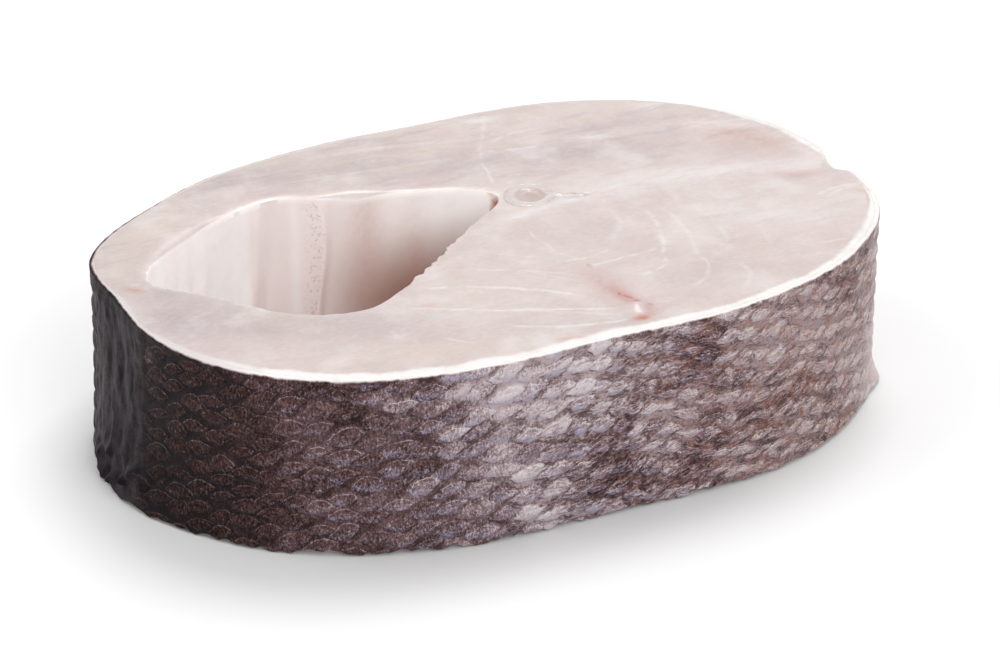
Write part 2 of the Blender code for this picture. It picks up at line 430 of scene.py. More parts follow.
def colour(red, green, blue, level=studioLevel):
    # a screen colour from 0 to 255, as it looks in that light, as the shader's own colour
    return (*[((c / 255 + 0.055) / 1.055) ** 2.4 / level for c in (red, green, blue)], 1.0)


def colourSteps(value, steps, level=studioLevel):
    made = addNode(value.tree, "ShaderNodeValToRGB", {"Fac": value})
    points = made.color_ramp.elements
    while len(points) < len(steps):
        points.new(1.0)
    for point, (position, _) in zip(points, steps):
        point.position = position
    for point, (_, shade) in zip(points, steps):
        point.color = colour(*shade, level)
    return Value(made.outputs["Color"])


# Fine lines of the cut face: arcs through three points, with their width, in millimetres, and strength

septa = (
    ((-12.7, -10.9), (-0.5, -16.7), (11.3, -23.7), 0.42, 0.35),
    ((-20.2, -15.6), (-5.0, -21.2), (8.4, -30.5), 0.50, 0.60),
    ((-25.3, -21.1), (-7.0, -29.2), (12.8, -36.8), 0.50, 0.75),
    ((-10.4, -34.1), (0.8, -39.2), (12.6, -40.7), 0.45, 0.60),
    ((-21.7, -33.5), (-19.6, -35.9), (-16.8, -38.2), 0.40, 0.35),
    ((8.2, -1.1), (8.4, -8.6), (13.4, -18.8), 0.38, 0.45),
    ((12.4, -20.6), (19.8, -19.6), (27.6, -18.4), 0.50, 0.75),
    ((7.0, -16.4), (13.5, -16.8), (19.6, -15.2), 0.40, 0.50),
    ((-2.0, -9.0), (4.0, -12.6), (9.0, -16.2), 0.40, 0.30),
    ((25.6, -0.2), (24.6, -7.0), (20.6, -12.7), 1.05, 0.34),
    ((31.6, -2.8), (31.0, -11.3), (26.9, -21.8), 0.70, 0.56),
    ((27.6, -20.4), (24.9, -25.6), (18.6, -26.3), 0.50, 0.55),
    ((34.6, -3.2), (35.3, -14.0), (32.9, -24.5), 0.60, 0.44),
    ((33.2, -23.0), (31.6, -31.2), (26.4, -34.2), 0.50, 0.36),
    ((38.6, -29.0), (39.4, -32.6), (35.2, -38.0), 0.60, 0.34),
    ((40.5, -5.0), (41.8, -14.0), (40.0, -24.0), 0.55, 0.28),
    ((73.2, -9.9), (68.8, -10.9), (64.7, -12.9), 0.45, 0.50),
    ((62.3, -28.6), (59.4, -27.9), (56.6, -28.2), 0.40, 0.40),
    ((67.5, 24.0), (61.5, 24.4), (54.0, 27.4), 0.60, 0.30),
    ((76.2, -10.4), (71.0, -9.4), (64.0, -10.6), 0.55, 0.55),
    ((50.4, 25.4), (45.6, 27.0), (39.4, 27.0), 0.70, 0.30),
    ((-12.0, -26.4), (0.4, -33.2), (12.2, -39.0), 0.32, 0.35),
    ((-6.0, -13.6), (3.4, -19.6), (10.0, -26.2), 0.30, 0.30),
    ((46.4, -8.4), (48.6, -16.8), (46.6, -26.8), 0.45, 0.22),
    ((18.6, 45.0), (13.6, 34.9), (10.0, 26.0), 0.65, 0.34),
    ((10.2, 27.0), (9.5, 21.8), (8.8, 16.6), 0.45, 0.50),
    ((11.6, 31.2), (16.8, 28.8), (23.4, 28.8), 0.60, 0.45),
    ((14.6, 32.9), (20.1, 35.8), (26.4, 36.2), 0.60, 0.40),
    ((28.0, 31.0), (38.0, 27.4), (50.0, 27.2), 0.80, 0.30),
    ((-36.0, 32.6), (-14.0, 31.8), (9.0, 29.4), 0.70, 0.22),
    ((-24.0, 40.6), (-8.0, 39.6), (12.0, 36.4), 0.90, 0.26),
)
bloodLines = (
    ((12.7, -18.6), (12.9, -22.4), (12.4, -26.4), 0.80, 0.38),
    ((12.2, -24.0), (12.6, -28.2), (13.8, -32.4), 1.60, 0.46),
    ((13.2, -30.6), (14.4, -33.4), (16.2, -36.2), 1.50, 1.00),
    ((12.6, -27.8), (14.8, -32.4), (17.8, -35.8), 0.55, 0.40),
    ((16.4, -36.0), (17.6, -38.0), (17.6, -40.2), 0.80, 0.60),
    ((12.6, -41.0), (14.6, -41.4), (17.0, -40.2), 0.70, 0.55),
)
edgeLines = (
    ((75.4, -1.6), (74.6, -11.6), (70.4, -20.6), 0.60, 0.60),
    ((70.6, -20.0), (64.2, -29.2), (55.0, -35.6), 0.55, 0.45),
)

# how far along its half an arc keeps its strength, and the least rise of an arc, in metres
lineTaper = 0.7
leastRise = 0.00002


def arcThrough(start, middle, end):
    # centre, radius, true middle and half chord of an arc through three points, in metres
    a, b, c = (np.array(p) / 1000 for p in (start, middle, end))
    chord = c - a
    side = np.array([-chord[1], chord[0]]) / np.linalg.norm(chord)
    rise = np.dot(b - (a + c) / 2, side)
    if abs(rise) < leastRise:
        b = b + side * 2 * leastRise
    cross = 2 * (a[0] * (b[1] - c[1]) + b[0] * (c[1] - a[1]) + c[0] * (a[1] - b[1]))
    sa, sb, sc = a @ a, b @ b, c @ c
    centre = np.array([sa * (b[1] - c[1]) + sb * (c[1] - a[1]) + sc * (a[1] - b[1]),
                       sa * (c[0] - b[0]) + sb * (a[0] - c[0]) + sc * (b[0] - a[0])]) / cross
    radius = np.linalg.norm(a - centre)
    out = (a + c) / 2 - centre
    true = centre + out / np.linalg.norm(out) * radius
    return centre, radius, true, np.linalg.norm(a - true)


def lineRelief(points, arcs, widen):
    # the same lines as a height between 0 and 1 on the mesh
    total = np.zeros(points.shape[:-1])
    for start, middle, end, width, strength in arcs:
        centre, radius, true, half = arcThrough(start, middle, end)
        off = np.abs(np.linalg.norm(points[..., :2] - centre, axis=-1) - radius)
        along = np.linalg.norm(points[..., :2] - true, axis=-1)
        line = 1 - smoothRamp(off, 0.0, width * widen / 1000)
        total = np.maximum(total, line * (1 - smoothRamp(along, half * lineTaper, half)) * strength)
    return total


def makeArcGroup():
    group, given, out = newGroup(
        "fine line",
        {"Place": "Vector", "Centre": "Vector", "Radius": "Float", "Middle": "Vector",
         "Half Chord": "Float", "Width": "Float", "Strength": "Float"},
        {"Line": "Float"})
    off = abs(maths("DISTANCE", given["Place"], given["Centre"]) - given["Radius"])
    across = ramp(off, given["Width"] * 1.3, 0.0)
    along = maths("DISTANCE", given["Place"], given["Middle"])
    ends = ramp(along, given["Half Chord"], given["Half Chord"] * lineTaper)
    fill(out, {"Line": across * ends * given["Strength"]})
    return group


arcGroup = makeArcGroup()


def drawLines(place, arcs):
    # the strongest of the lines at each place
    total = None
    for start, middle, end, width, strength in arcs:
        centre, radius, true, half = arcThrough(start, middle, end)
        line = useGroup(place.tree, arcGroup, {
            "Place": place, "Centre": (*centre, 0.0), "Radius": radius, "Middle": (*true, 0.0),
            "Half Chord": half, "Width": width / 1000, "Strength": strength})["Line"]
        total = line if total is None else highest(total, line)
    return total


# The flesh

fleshLook = dict(
    pink=colour(228, 214, 210, fleshLevel),
    rose=colour(219, 201, 197, fleshLevel),
    mauve=colour(196, 181, 182, fleshLevel),
    cream=colour(224, 208, 197, fleshLevel),
    pale=colour(242, 234, 233, fleshLevel),
    whiteLine=colour(246, 240, 240, fleshLevel),
    lining=colour(254, 251, 250, 1.0),
    liningPink=colour(242, 227, 224, 1.06),
    # painted shade at the foot of the cavity, brown
    cavityShade=colour(176, 130, 112, 1.2),
    stain=colour(198, 106, 36),
    blood=colour(176, 52, 44),
    edgeLine=colour(196, 158, 136),
    roughness=(0.30, 0.40),
    coat=0.25,
)

fleshGrid = dict(
    columns=640,
    samples=1440,
    leftWeight=0.6,
    denserAlong=(-0.02, 0.03),
    spreadShares=(0.45, 0.55),  # by the angle, and by the length of the wall
    wallLevels=(0.02, 0.35, 0.7, 0.96),
    faceRows=98,
    faceCrowd=1.25,
    lipDistances=(0.0030, 0.0022, 0.0016, 0.0011, 0.0007, 0.0004, 0.0002),
    lipCover=0.75,
    lipVeil=0.30,
    cavityRows=28,
    bulgeRows=4,
    undersideRows=14,
    undersideLift=0.0003,
    undersideSpan=(0.004, 0.992),
    wallTuck=0.0002,
    rimTuck=0.0002,
    rimDrop=0.0006,
    noRind=99.0,  # painted where the white fat never reaches
)

# (x, y, reach along, reach across, turn, amount) of each soft patch, millimetres and degrees
patches = dict(
    mauve=(
        (-30, 38, 30, 5, -3, 0.8), (8, 27, 26, 5.5, -6, 0.55), (34, 22, 17, 6, -10, 0.60),
        (46, 31, 16, 2.6, -12, 0.60), (-56, -6, 12, 9, -45, 1.0), (-40, -23, 19, 5.5, -28, 1.0),
        (-66, 2, 6, 6, 0, 0.5), (-65, -12, 9, 4.5, -50, 0.9),
        (-66, 18, 7, 9, 0, 0.80), (-12, 32, 20, 6, -5, 0.5), (-70, 11, 4, 8, 0, 0.6),
        (3, -39, 13, 3.5, -8, 0.35), (-46, 31, 12, 3, 42, 0.6), (17, -9, 8, 7, 0, 0.35),
        (30, -31, 10, 5, 25, 0.5), (60, 12, 9, 4, -20, 0.35),
    ),
    cream=(
        (-58, 24, 11, 6, 35, 0.8), (-68, 12, 5, 9, 0, 0.7), (-28, -37, 22, 3.5, -14, 0.9),
        (-14, -20, 9, 6, -40, 0.55), (2, 45, 18, 2.5, -4, 0.9), (44, -27, 12, 6, 20, 0.25),
        (-17, 29, 7, 5, 0, 0.6), (-48, -17, 14, 2.6, -42, 0.4), (-30, 42, 14, 1.4, -4, 0.5),
    ),
    pale=(
        (46, 6.5, 20, 3.2, -8, 0.95), (64, 3.2, 10, 2.2, -8, 0.6), (8.6, 3.6, 5.0, 1.7, 10, 1.0),
        (16, 5.0, 5, 1.0, 6, 0.8), (35, 28.6, 3.5, 1.5, 0, 0.7), (60, 23.6, 8, 1.5, -20, 0.6),
        (53, 36.4, 5, 1.2, -14, 1.0), (7, 34.5, 9, 1.2, -8, 0.2), (28, 6.4, 8, 2.2, -10, 0.5),
        (14.8, -37.2, 1.5, 1.5, 0, 0.8), (52, -14, 12, 5, -20, 0.45), (16.5, 43.6, 4, 1.2, -6, 1.0),
        (21.0, 5.2, 4.0, 1.0, -22, 0.6), (24, 15, 8, 2, -10, 0.25), (64, -14, 9, 7, -20, 0.25),
    ),
    stain=(
        (60, 18, 9, 4, 118, 0.16), (66, 13.5, 5, 2.2, 118, 0.16), (73.2, -12.6, 2.6, 1.4, -40, 0.22),
        (-19.4, -22.2, 2, 0.8, -22, 0.26), (-67.6, 3.4, 1.9, 0.9, 150, 0.45), (13.9, -41, 1.5, 0.9, 0, 0.95),
        (-0.6, -43.4, 2.5, 0.5, -16, 0.4), (5, 34.5, 10, 1.2, -10, 0.10), (6.9, 13, 0.5, 1.6, 0, 0.8),
    ),
    blood=(
        (66.5, 0.4, 8.5, 2.2, -10, 0.22), (13.6, -29.5, 3.2, 6.5, 8, 0.16), (14.4, -33.0, 1.5, 4.0, 20, 0.34),
        (72.5, -6, 2.0, 2.6, 0, 0.12), (18, -39.6, 7, 0.9, 16, 0.16), (60, -24, 8, 3, 30, 0.05),
        (11.6, -23.5, 3.2, 4.2, 0, 0.09), (16.8, -38.0, 2.4, 1.0, 60, 0.26),
    ),
)

# the cavity's far wall and lining: places along the slab, and levels as shares of its height
lining = dict(
    # (x, reach, bulge) in millimetres of upright folds
    folds=(
        (-60.5, 1.1, 0.5), (-57.4, 1.0, 0.4), (-54.0, 1.4, 0.45), (-50.0, 1.6, 0.30), (-37.2, 1.5, 0.75),
        (-33.6, 1.2, -0.35), (-29.0, 1.3, 0.35), (-24.0, 0.75, 0.75), (-22.4, 0.8, -0.25), (-11.0, 4.0, 0.5),
    ),
    foldSway=(0.9, 160.0),
    foldsAcross=(0.006, 0.013),
    lumps=((0.00035, 0.006),),
    lumpStretch=0.6,
    lean=0.35,
    farFrom=0.01,
    farTo=0.012,
    whiteFrom=0.0005,
    nearShare=0.35,
    roseAlong=(-0.0388, -0.0370),
    roseEnd=(-0.016, -0.004),
    roseUp=(0.4, 0.9),
    brightStrip=(-0.0286, 0.0010),
    veil=0.10,
    veilAlong=(-0.062, -0.050),
    veilEnd=(-0.0424, -0.0412),
    apexAlong=(0.0069, 0.0076),
    apexUp=(0.45, 0.80),
    apexRough=((0.0004, 0.0016),),
    # (x, reach, level, reach up, amount, least share) of brown smudges
    smudges=((-0.0155, 0.0030, 0.80, 0.25, 0.22, 0.4), (-0.0060, 0.0028, 0.55, 0.30, 0.20, 0.0)),
    dots=(-25.2, 1.6),
    dotShare=0.30,
    dotSway=(0.4, 6.1),
    # where the painted shade lies: at the foot of the deep end, and low on the near wall
    deepAlong=(-0.028, -0.010),
    deepUp=(0.30, 0.90),
    shadeFrom=0.002,
    shadeUp=(0.2, 0.9),
)

ball = dict(middle=(0.0148, -0.0372), reach=0.0016, height=0.0009, rough=0.25, grain=0.0009)

# (amount, size) of the lumps in metres, and the crumbled edge further left
relief = dict(
    lumps=((0.00016, 0.009), (0.00005, 0.0030)),
    lineHeight=0.00008,
    lineWiden=1.6,
    crumbs=((0.00035, 0.0011), (0.00015, 0.0004)),
    wallCrumbs=((0.0002, 0.0014),),
    leftAlong=(-0.040, -0.030),
    leftShare=0.5,
    leftTurn=0.3,
)


def fleshAngles():
    # columns fan out from the middle of the cavity, denser towards the back
    grid = fleshGrid
    around = np.linspace(-math.pi, math.pi, grid["samples"], endpoint=False)
    wall = wallRing(around, skinThickness(around), 1.0)
    off = wall - np.array(cavity["middle"])
    seen = np.unwrap(np.arctan2(off[:, 1], off[:, 0]))
    step = np.linalg.norm(np.diff(wall, axis=0, append=wall[:1]), axis=1)
    weight = step * (grid["leftWeight"] + smoothRamp(wall[:, 0], *grid["denserAlong"]))
    length = np.concatenate([[0.0], np.cumsum(weight)])
    seen = np.append(seen, seen[0] + math.tau)
    around = np.append(around, math.pi)
    byAngle, byLength = grid["spreadShares"]
    spread = byAngle * (seen - seen[0]) / math.tau + byLength * length / length[-1]
    wanted = np.linspace(0, 1, grid["columns"], endpoint=False)
    return np.interp(wanted, spread, around), np.interp(wanted, spread, seen)


def patchField(points, spots):
    # soft patches added up, between 0 and 1
    total = np.zeros(points.shape[:-1])
    x, y = points[..., 0] * 1000, points[..., 1] * 1000
    for middleX, middleY, along, across, turn, amount in spots:
        c, s = math.cos(math.radians(turn)), math.sin(math.radians(turn))
        u = (x - middleX) * c + (y - middleY) * s
        v = (y - middleY) * c - (x - middleX) * s
        total = total + amount * np.exp(-(u / along) ** 2 - (v / across) ** 2)
    return np.clip(total, 0.0, 1.0)


def faceRelief(spot):
    # small unevenness of the cut face, in metres
    flat = atHeight(spot, 0.0)
    lumps = layeredNoise(flat, relief["lumps"])
    lines = relief["lineHeight"] * lineRelief(flat, septa, relief["lineWiden"])
    off = np.linalg.norm(spot - np.array(ball["middle"]), axis=-1)
    bump = ball["height"] * np.exp(-(off / ball["reach"]) ** 2)
    return lumps + lines + bump * (1 + ball["rough"] * softNoise(flat, ball["grain"]))


def rimRelief(spot, inset):
    # the same, dying away towards the rim, where skin and flesh meet
    return faceRelief(spot) * smoothRamp(inset, skinGrid["rimRound"], skinGrid["rimBlend"])


def crumbledEdge(angle, rim):
    # how much of the crumbled edge is at each angle, and how far it is pushed out there
    left = 1 - smoothRamp(rim[..., 0], *relief["leftAlong"])
    left = relief["leftShare"] * (np.sin(angle) < relief["leftTurn"]) * left
    near = np.maximum(nearEdge(rim[..., 0], np.sin(angle)), left)
    crumble = sum(amount * softNoise(atHeight(rim, 0.01 * layer), size)
                  for layer, (amount, size) in enumerate(relief["crumbs"]))
    return near, near * crumble


def liningCover(kind, share):
    # the lining fills the cavity and reaches over its lip, by a share of the lip's rows
    if kind == "cavity":
        return 1.0
    if kind != "lip":
        return 0.0
    return fleshGrid["lipCover"] if share > 0.99 else fleshGrid["lipVeil"] * share ** 2


def makeFlesh():
    grid = fleshGrid
    wallAngle, cavityAngle = fleshAngles()
    ray = np.stack([np.cos(cavityAngle), np.sin(cavityAngle)], axis=-1)
    rim = cavityRing(cavityAngle, 1.0)
    near, crumble = crumbledEdge(cavityAngle, rim)
    rim = rim + ray * crumble[..., None]
    wallInset = skinThickness(wallAngle) - grid["wallTuck"]
    rimInset = np.full_like(wallAngle, skinGrid["rimRound"] + grid["rimTuck"])
    outward = wallRing(wallAngle, rimInset, 1.0) - rim
    span = np.linalg.norm(outward, axis=-1, keepdims=True)
    outward = outward / span
    painted = fatWidth(wallAngle)
    rows = []

    def addRow(kind, spot, height, rind=grid["noRind"]):
        rows.append((kind, atHeight(spot, height), rind + np.zeros_like(wallAngle)))

    for level in grid["wallLevels"]:
        addRow("wall", wallRing(wallAngle, wallInset, level), slab["height"] * level, 0.0)
    lip = grid["lipDistances"]
    for index in range(grid["faceRows"] + 1):
        share = (index / grid["faceRows"]) ** grid["faceCrowd"]
        spot = rim + outward * (lip[0] + (span - lip[0]) * (1 - share))
        edge = (span - lip[0])[..., 0] * share
        drop = grid["rimDrop"] * (1 - smoothRamp(edge, 0.0, 2 * grid["rimTuck"]))
        height = faceHeight(spot) + rimRelief(spot, rimInset + edge) - drop
        addRow("face", spot, height, (rimInset + edge) / painted)
    for index, distance in enumerate(lip[1:], 1):
        spot = rim + outward * distance
        drop = lipDrop(spot) * (index / len(lip)) ** 2
        addRow("lip", spot, faceHeight(spot) + faceRelief(spot) - drop)
    rimHeight = faceHeight(rim) - lipDrop(rim) + faceRelief(rim)
    addRow("lip", rim, rimHeight)
    for index in range(1, grid["cavityRows"]):
        level = 1 - index / grid["cavityRows"]
        spot = cavityRing(cavityAngle, level)
        shift = -wallBulge(spot, slab["height"] * level) * smoothRamp(index, 0, grid["bulgeRows"])
        rough = near * layeredNoise(atHeight(spot, slab["height"] * level), relief["wallCrumbs"])
        addRow("cavity", spot + ray * (shift + rough + crumble * level)[..., None], rimHeight * level)
    footWall = wallRing(wallAngle, wallInset, 0.0)
    footRim = cavityRing(cavityAngle, 0.0)
    start, length = grid["undersideSpan"]
    for index in range(grid["undersideRows"] + 1):
        share = start + length * index / grid["undersideRows"]
        lift = grid["undersideLift"] if 0 < index < grid["undersideRows"] else 0.0
        addRow("underside", footRim + (footWall - footRim) * share, lift)

    kinds, places, rind = zip(*rows)
    places = sinkVertebra(np.stack(places, axis=1), np.array([kind in ("face", "lip") for kind in kinds]))
    inner = np.cumsum([kind == "lip" for kind in kinds]) / kinds.count("lip")
    covered = np.array([liningCover(kind, share) for kind, share in zip(kinds, inner)])
    cover = covered[None, :] * np.ones(places.shape[:2])
    return layRing("fleshSlab", places, fleshFields(places, cover, np.stack(rind, axis=1)))


def fleshFields(places, cover, rind):
    x, y, z = places[..., 0], places[..., 1], places[..., 2] / slab["height"]
    fields = {name: patchField(places, spots) for name, spots in patches.items()}
    for name in ("mauve", "cream", "pale", "blood"):
        fields[name] = fields[name] * (1 - cover)
    inside = np.where(cover > 0.99, cover, 0.0)
    fields["lining"] = cover * liningShare(x, y)
    fields["rind"] = rind
    # painted shade at the foot of the cavity
    fields["cavityShade"] = inside * liningShade(x, y, z)
    fields["stain"] = np.where(inside > 0, liningStain(places), fields["stain"])
    fields["rosy"] = inside * liningRose(x, z)
    fields["dots"] = inside * liningDots(x, y, z)
    return fields


def wallBulge(spot, height):
    # upright folds and soft lumps on the far wall of the cavity
    sway, beat = lining["foldSway"]
    x = spot[..., 0] * 1000 + sway * np.sin(height * beat)
    folds = sum(amount * bell(x, place, reach) for place, reach, amount in lining["folds"]) / 1000
    lumps = layeredNoise(atHeight(spot, height * lining["lumpStretch"]), lining["lumps"])
    return smoothRamp(spot[..., 1], *lining["foldsAcross"]) * (folds + lumps)


def farWall(x, y, start):
    # 1 on the far wall, 0 on the near one, whose line leans along the slab
    return smoothRamp(y - lining["lean"] * x, start, lining["farTo"])


def liningShare(x, y):
    # the white lining covers the far wall; the near wall is bare flesh
    return lining["nearShare"] + (1 - lining["nearShare"]) * farWall(x, y, lining["whiteFrom"])


def liningRose(x, z):
    # pinker beyond a bright strip, and in a veil before it
    end = 0.9 * smoothRamp(x, *lining["roseEnd"]) * smoothRamp(z, *lining["roseUp"])
    rose = smoothRamp(x, *lining["roseAlong"]) * (1 - end)
    rose = rose * (0.50 + 0.50 * (1 - z)) * (1 - 0.4 * bell(x, *lining["brightStrip"]))
    veil = lining["veil"] * (1 - smoothRamp(x, *lining["veilEnd"])) * smoothRamp(x, *lining["veilAlong"])
    return rose + veil


def liningStain(places):
    # brown at the cavity's point, and in smudges on the far wall
    x, y, z = places[..., 0], places[..., 1], places[..., 2] / slab["height"]
    edge = layeredNoise(places, lining["apexRough"])
    apex = 0.95 * smoothRamp(x + edge, *lining["apexAlong"]) * smoothRamp(z, *lining["apexUp"])
    smudges = sum(amount * bell(x, place, reach) * (least + (1 - least) * bell(z, level, up))
                  for place, reach, level, up, amount, least in lining["smudges"])
    return np.clip(apex + smudges * (y > lining["farFrom"]), 0.0, 1.0)


def liningDots(x, y, z):
    # an upright row of small brown dots
    sway, beat = lining["dotSway"]
    row = bell(x * 1000 + sway * np.sin(z * beat), *lining["dots"])
    return lining["dotShare"] * row * (y > lining["farFrom"])


def liningShade(x, y, z):
    # painted shade: the lining turns brown towards the foot of the deep end, and low on the near wall
    deep = 0.95 * smoothRamp(x, *lining["deepAlong"]) * (1 - smoothRamp(z, *lining["deepUp"]))
    near = 0.5 * (1 - farWall(x, y, lining["shadeFrom"])) * (1 - smoothRamp(z, *lining["shadeUp"]))
    return np.clip(deep + near, 0.0, 1.0)


# The vertebra

vertebra = dict(
    middle=(0.0133, 0.0105),
    halfLength=0.0048,
    halfWidth=0.0045,
    spineAngle=-21.9,
    spineLength=0.0068,
    spineSpread=0.075,
    discMiddle=(0.0143, 0.0099),
    discShare=0.66,
    discRound=0.98,
    discTo=0.55,  # the rings turn from round to the bone's outline from here on
    segments=256,
    rings=44,
    sideRows=10,
    underRings=12,
    grown=0.00010,
    sinkDepth=0.0012,
    sinkBlend=(0.00015, 0.00060),
    sideDrop=0.0007,
    # (share of the way out, reach, height) of the ridges on the cut bone
    ridges=((0.66, 0.07, 0.00010), (0.86, 0.06, 0.00005)),
    dish=0.00030,
    dishFrom=0.30,
    edgeDrop=0.00012,
    rough=(0.00010, 0.0012),
)


def boneOutline(angle, grown):
    oval = vertebra["halfLength"] * vertebra["halfWidth"] / np.hypot(
        vertebra["halfWidth"] * np.cos(angle), vertebra["halfLength"] * np.sin(angle))
    turn = turnBetween(angle, math.radians(vertebra["spineAngle"]))
    spread = vertebra["spineSpread"] + grown / 0.010
    reach = oval + grown + vertebra["spineLength"] * bell(turn, 0.0, spread)
    return np.array(vertebra["middle"]) + np.stack([reach * np.cos(angle), reach * np.sin(angle)], axis=-1)


def boneReach(points):
    # how far inside the bone's outline a place lies, in metres
    middle = np.array(vertebra["middle"])
    off = points[..., :2] - middle
    edge = boneOutline(np.arctan2(off[..., 1], off[..., 0]), 0.0) - middle
    return np.linalg.norm(edge, axis=-1) - np.linalg.norm(off, axis=-1)


def sinkVertebra(places, faceRows):
    # the flesh makes room for the bone in the cut face
    inside = smoothRamp(boneReach(places), *vertebra["sinkBlend"]) * vertebra["sinkDepth"]
    places = places.copy()
    places[..., 2] -= inside * faceRows[None, :]
    return places


def makeVertebra():
    v = vertebra
    angle = np.linspace(0, math.tau, v["segments"] + 1)
    outer = boneOutline(angle, v["grown"])
    whole, disc = np.array(v["middle"]), np.array(v["discMiddle"])
    oval = np.stack([np.cos(angle), np.sin(angle)], axis=-1) * v["halfWidth"] * v["discRound"]
    top = faceHeight(outer).mean()
    rows, shares = [], []

    def addRing(share, height, roughness=0.0):
        # rings slide from the disc's middle to the whole outline
        blend = smoothRamp(share, v["discTo"], 1.0)
        across = oval * (1 - blend) + (outer - whole) * blend
        spot = atHeight(disc + (whole - disc) * share + across * share, height)
        spot[..., 2] += roughness * softNoise(spot, v["rough"][1])
        rows.append(spot)
        shares.append(share)

    for index in range(v["rings"] + 1):
        share = index / v["rings"]
        height = top - v["dish"] * (1 - smoothRamp(share, v["dishFrom"], v["discShare"]))
        height += sum(tall * bell(share, place, reach) for place, reach, tall in v["ridges"])
        addRing(share, height - v["edgeDrop"] * smoothRamp(share, 0.90, 1.0), v["rough"][0])
    for index in range(v["sideRows"] + 1):
        rows.append(atHeight(outer, (top - v["sideDrop"]) * (1 - index / v["sideRows"])))
        shares.append(1.0)
    for index in range(1, v["underRings"] + 1):
        addRing(1 - index / v["underRings"], 0.0)
    places = np.stack(rows, axis=1)
    places[-1, ...] = places[0, ...]
    return layGrid("vertebra", places, {"ringShare": np.array(shares)[None, :] * np.ones(places.shape[:2])})


# The skin

scales = dict(
    width=0.0049,
    backWidth=0.0037,
    narrowing=(0.092, 0.110),
    tall=0.0042,
    skew=0.26,
    halfWide=0.66,
    above=0.42,
    below=0.35,
    slopes=(0.26, 0.12),
    slopesTurn=(15.9, 18.6),
    relief=0.00050,
    backRelief=0.66,
    slimmer=0.34,
    slimTurn=(18.5, 24.0),
    # beats across and up of each scale's shove, twice, and of its size
    beats=((2.4, 4.1), (5.3, -1.9), (3.1, 1.3)),
    jitter=0.075,
    sizeSwing=0.20,
    wanders=((0.0012, 0.015), (0.0006, 0.0060), (0.0004, 0.0028)),
    backStir=0.50,
    stirAlong=(0.104, 0.130),
    bellyAlong=(0.007, 0.016),
)

skinGrid = dict(
    columns=960,
    wallRows=76,
    roundRows=4,
    bandRows=7,
    rimRound=0.0005,
    rimBlend=0.0035,
    rimFade=0.0024,
    rimRough=((0.00025, 0.0014),),
    bandDive=0.0005,
    diveAcross=(0.0004, 0.0010),
    # (level, drop) of the rows behind the cut band
    hiddenRows=((1.0, 0.0026), (0.92, 0.0), (0.5, 0.0), (0.02, 0.0)),
    hiddenTuck=0.0001,
    foot=0.0004,
    footFade=0.0032,
    footRough=((0.0005, 0.0016),),
    raggedRadius=0.075,
    footRagged=0.0009,
    footBeats=(10.0, 23.0, 31.0, 47.0),
    lipAngle=-16,
    lipReach=3.2,
    lipHeight=0.0065,
    lipCurl=0.0018,
    wrinkle=0.0007,
    # (amount, upright squeeze, size) of the belly's folds
    folds=((0.5, 0.26, 0.0023), (0.30, 0.40, 0.0011), (0.6, 0.35, 0.0060)),
    foldSway=(0.0016, 0.6, 0.0075),
    frill=0.0036,
    frillAround=(-173, 0.20),
    frillUp=(0.003, 0.012),
    frillSize=0.0024,
    # (angle, reach, amount) where the painted cut starts further in
    paintedCuts=((166, 22, 1.0), (110, 30, 0.5), (60, 26, 0.5), (2.4, 2.2, -3.0)),
)

# painted width of the white fat at the skin's cut edge: (angle, millimetres)
fatWidths = (
    (-180, 1.4), (-172, 0.9), (-165, 1.6), (-154, 2.5), (-130, 3.0), (-90, 3.0), (-50, 3.1), (-31, 2.9),
    (-26, 3.0), (-20, 2.6), (-17, 2.3), (-13, 1.7), (-9, 1.4), (-3, 1.2), (1, 1.0), (5, 2.2), (12, 2.7),
    (20, 2.0), (30, 1.2), (40, 0.5), (60, 0.25), (150, 0.25), (165, 0.45), (174, 0.9), (180, 1.4),
)

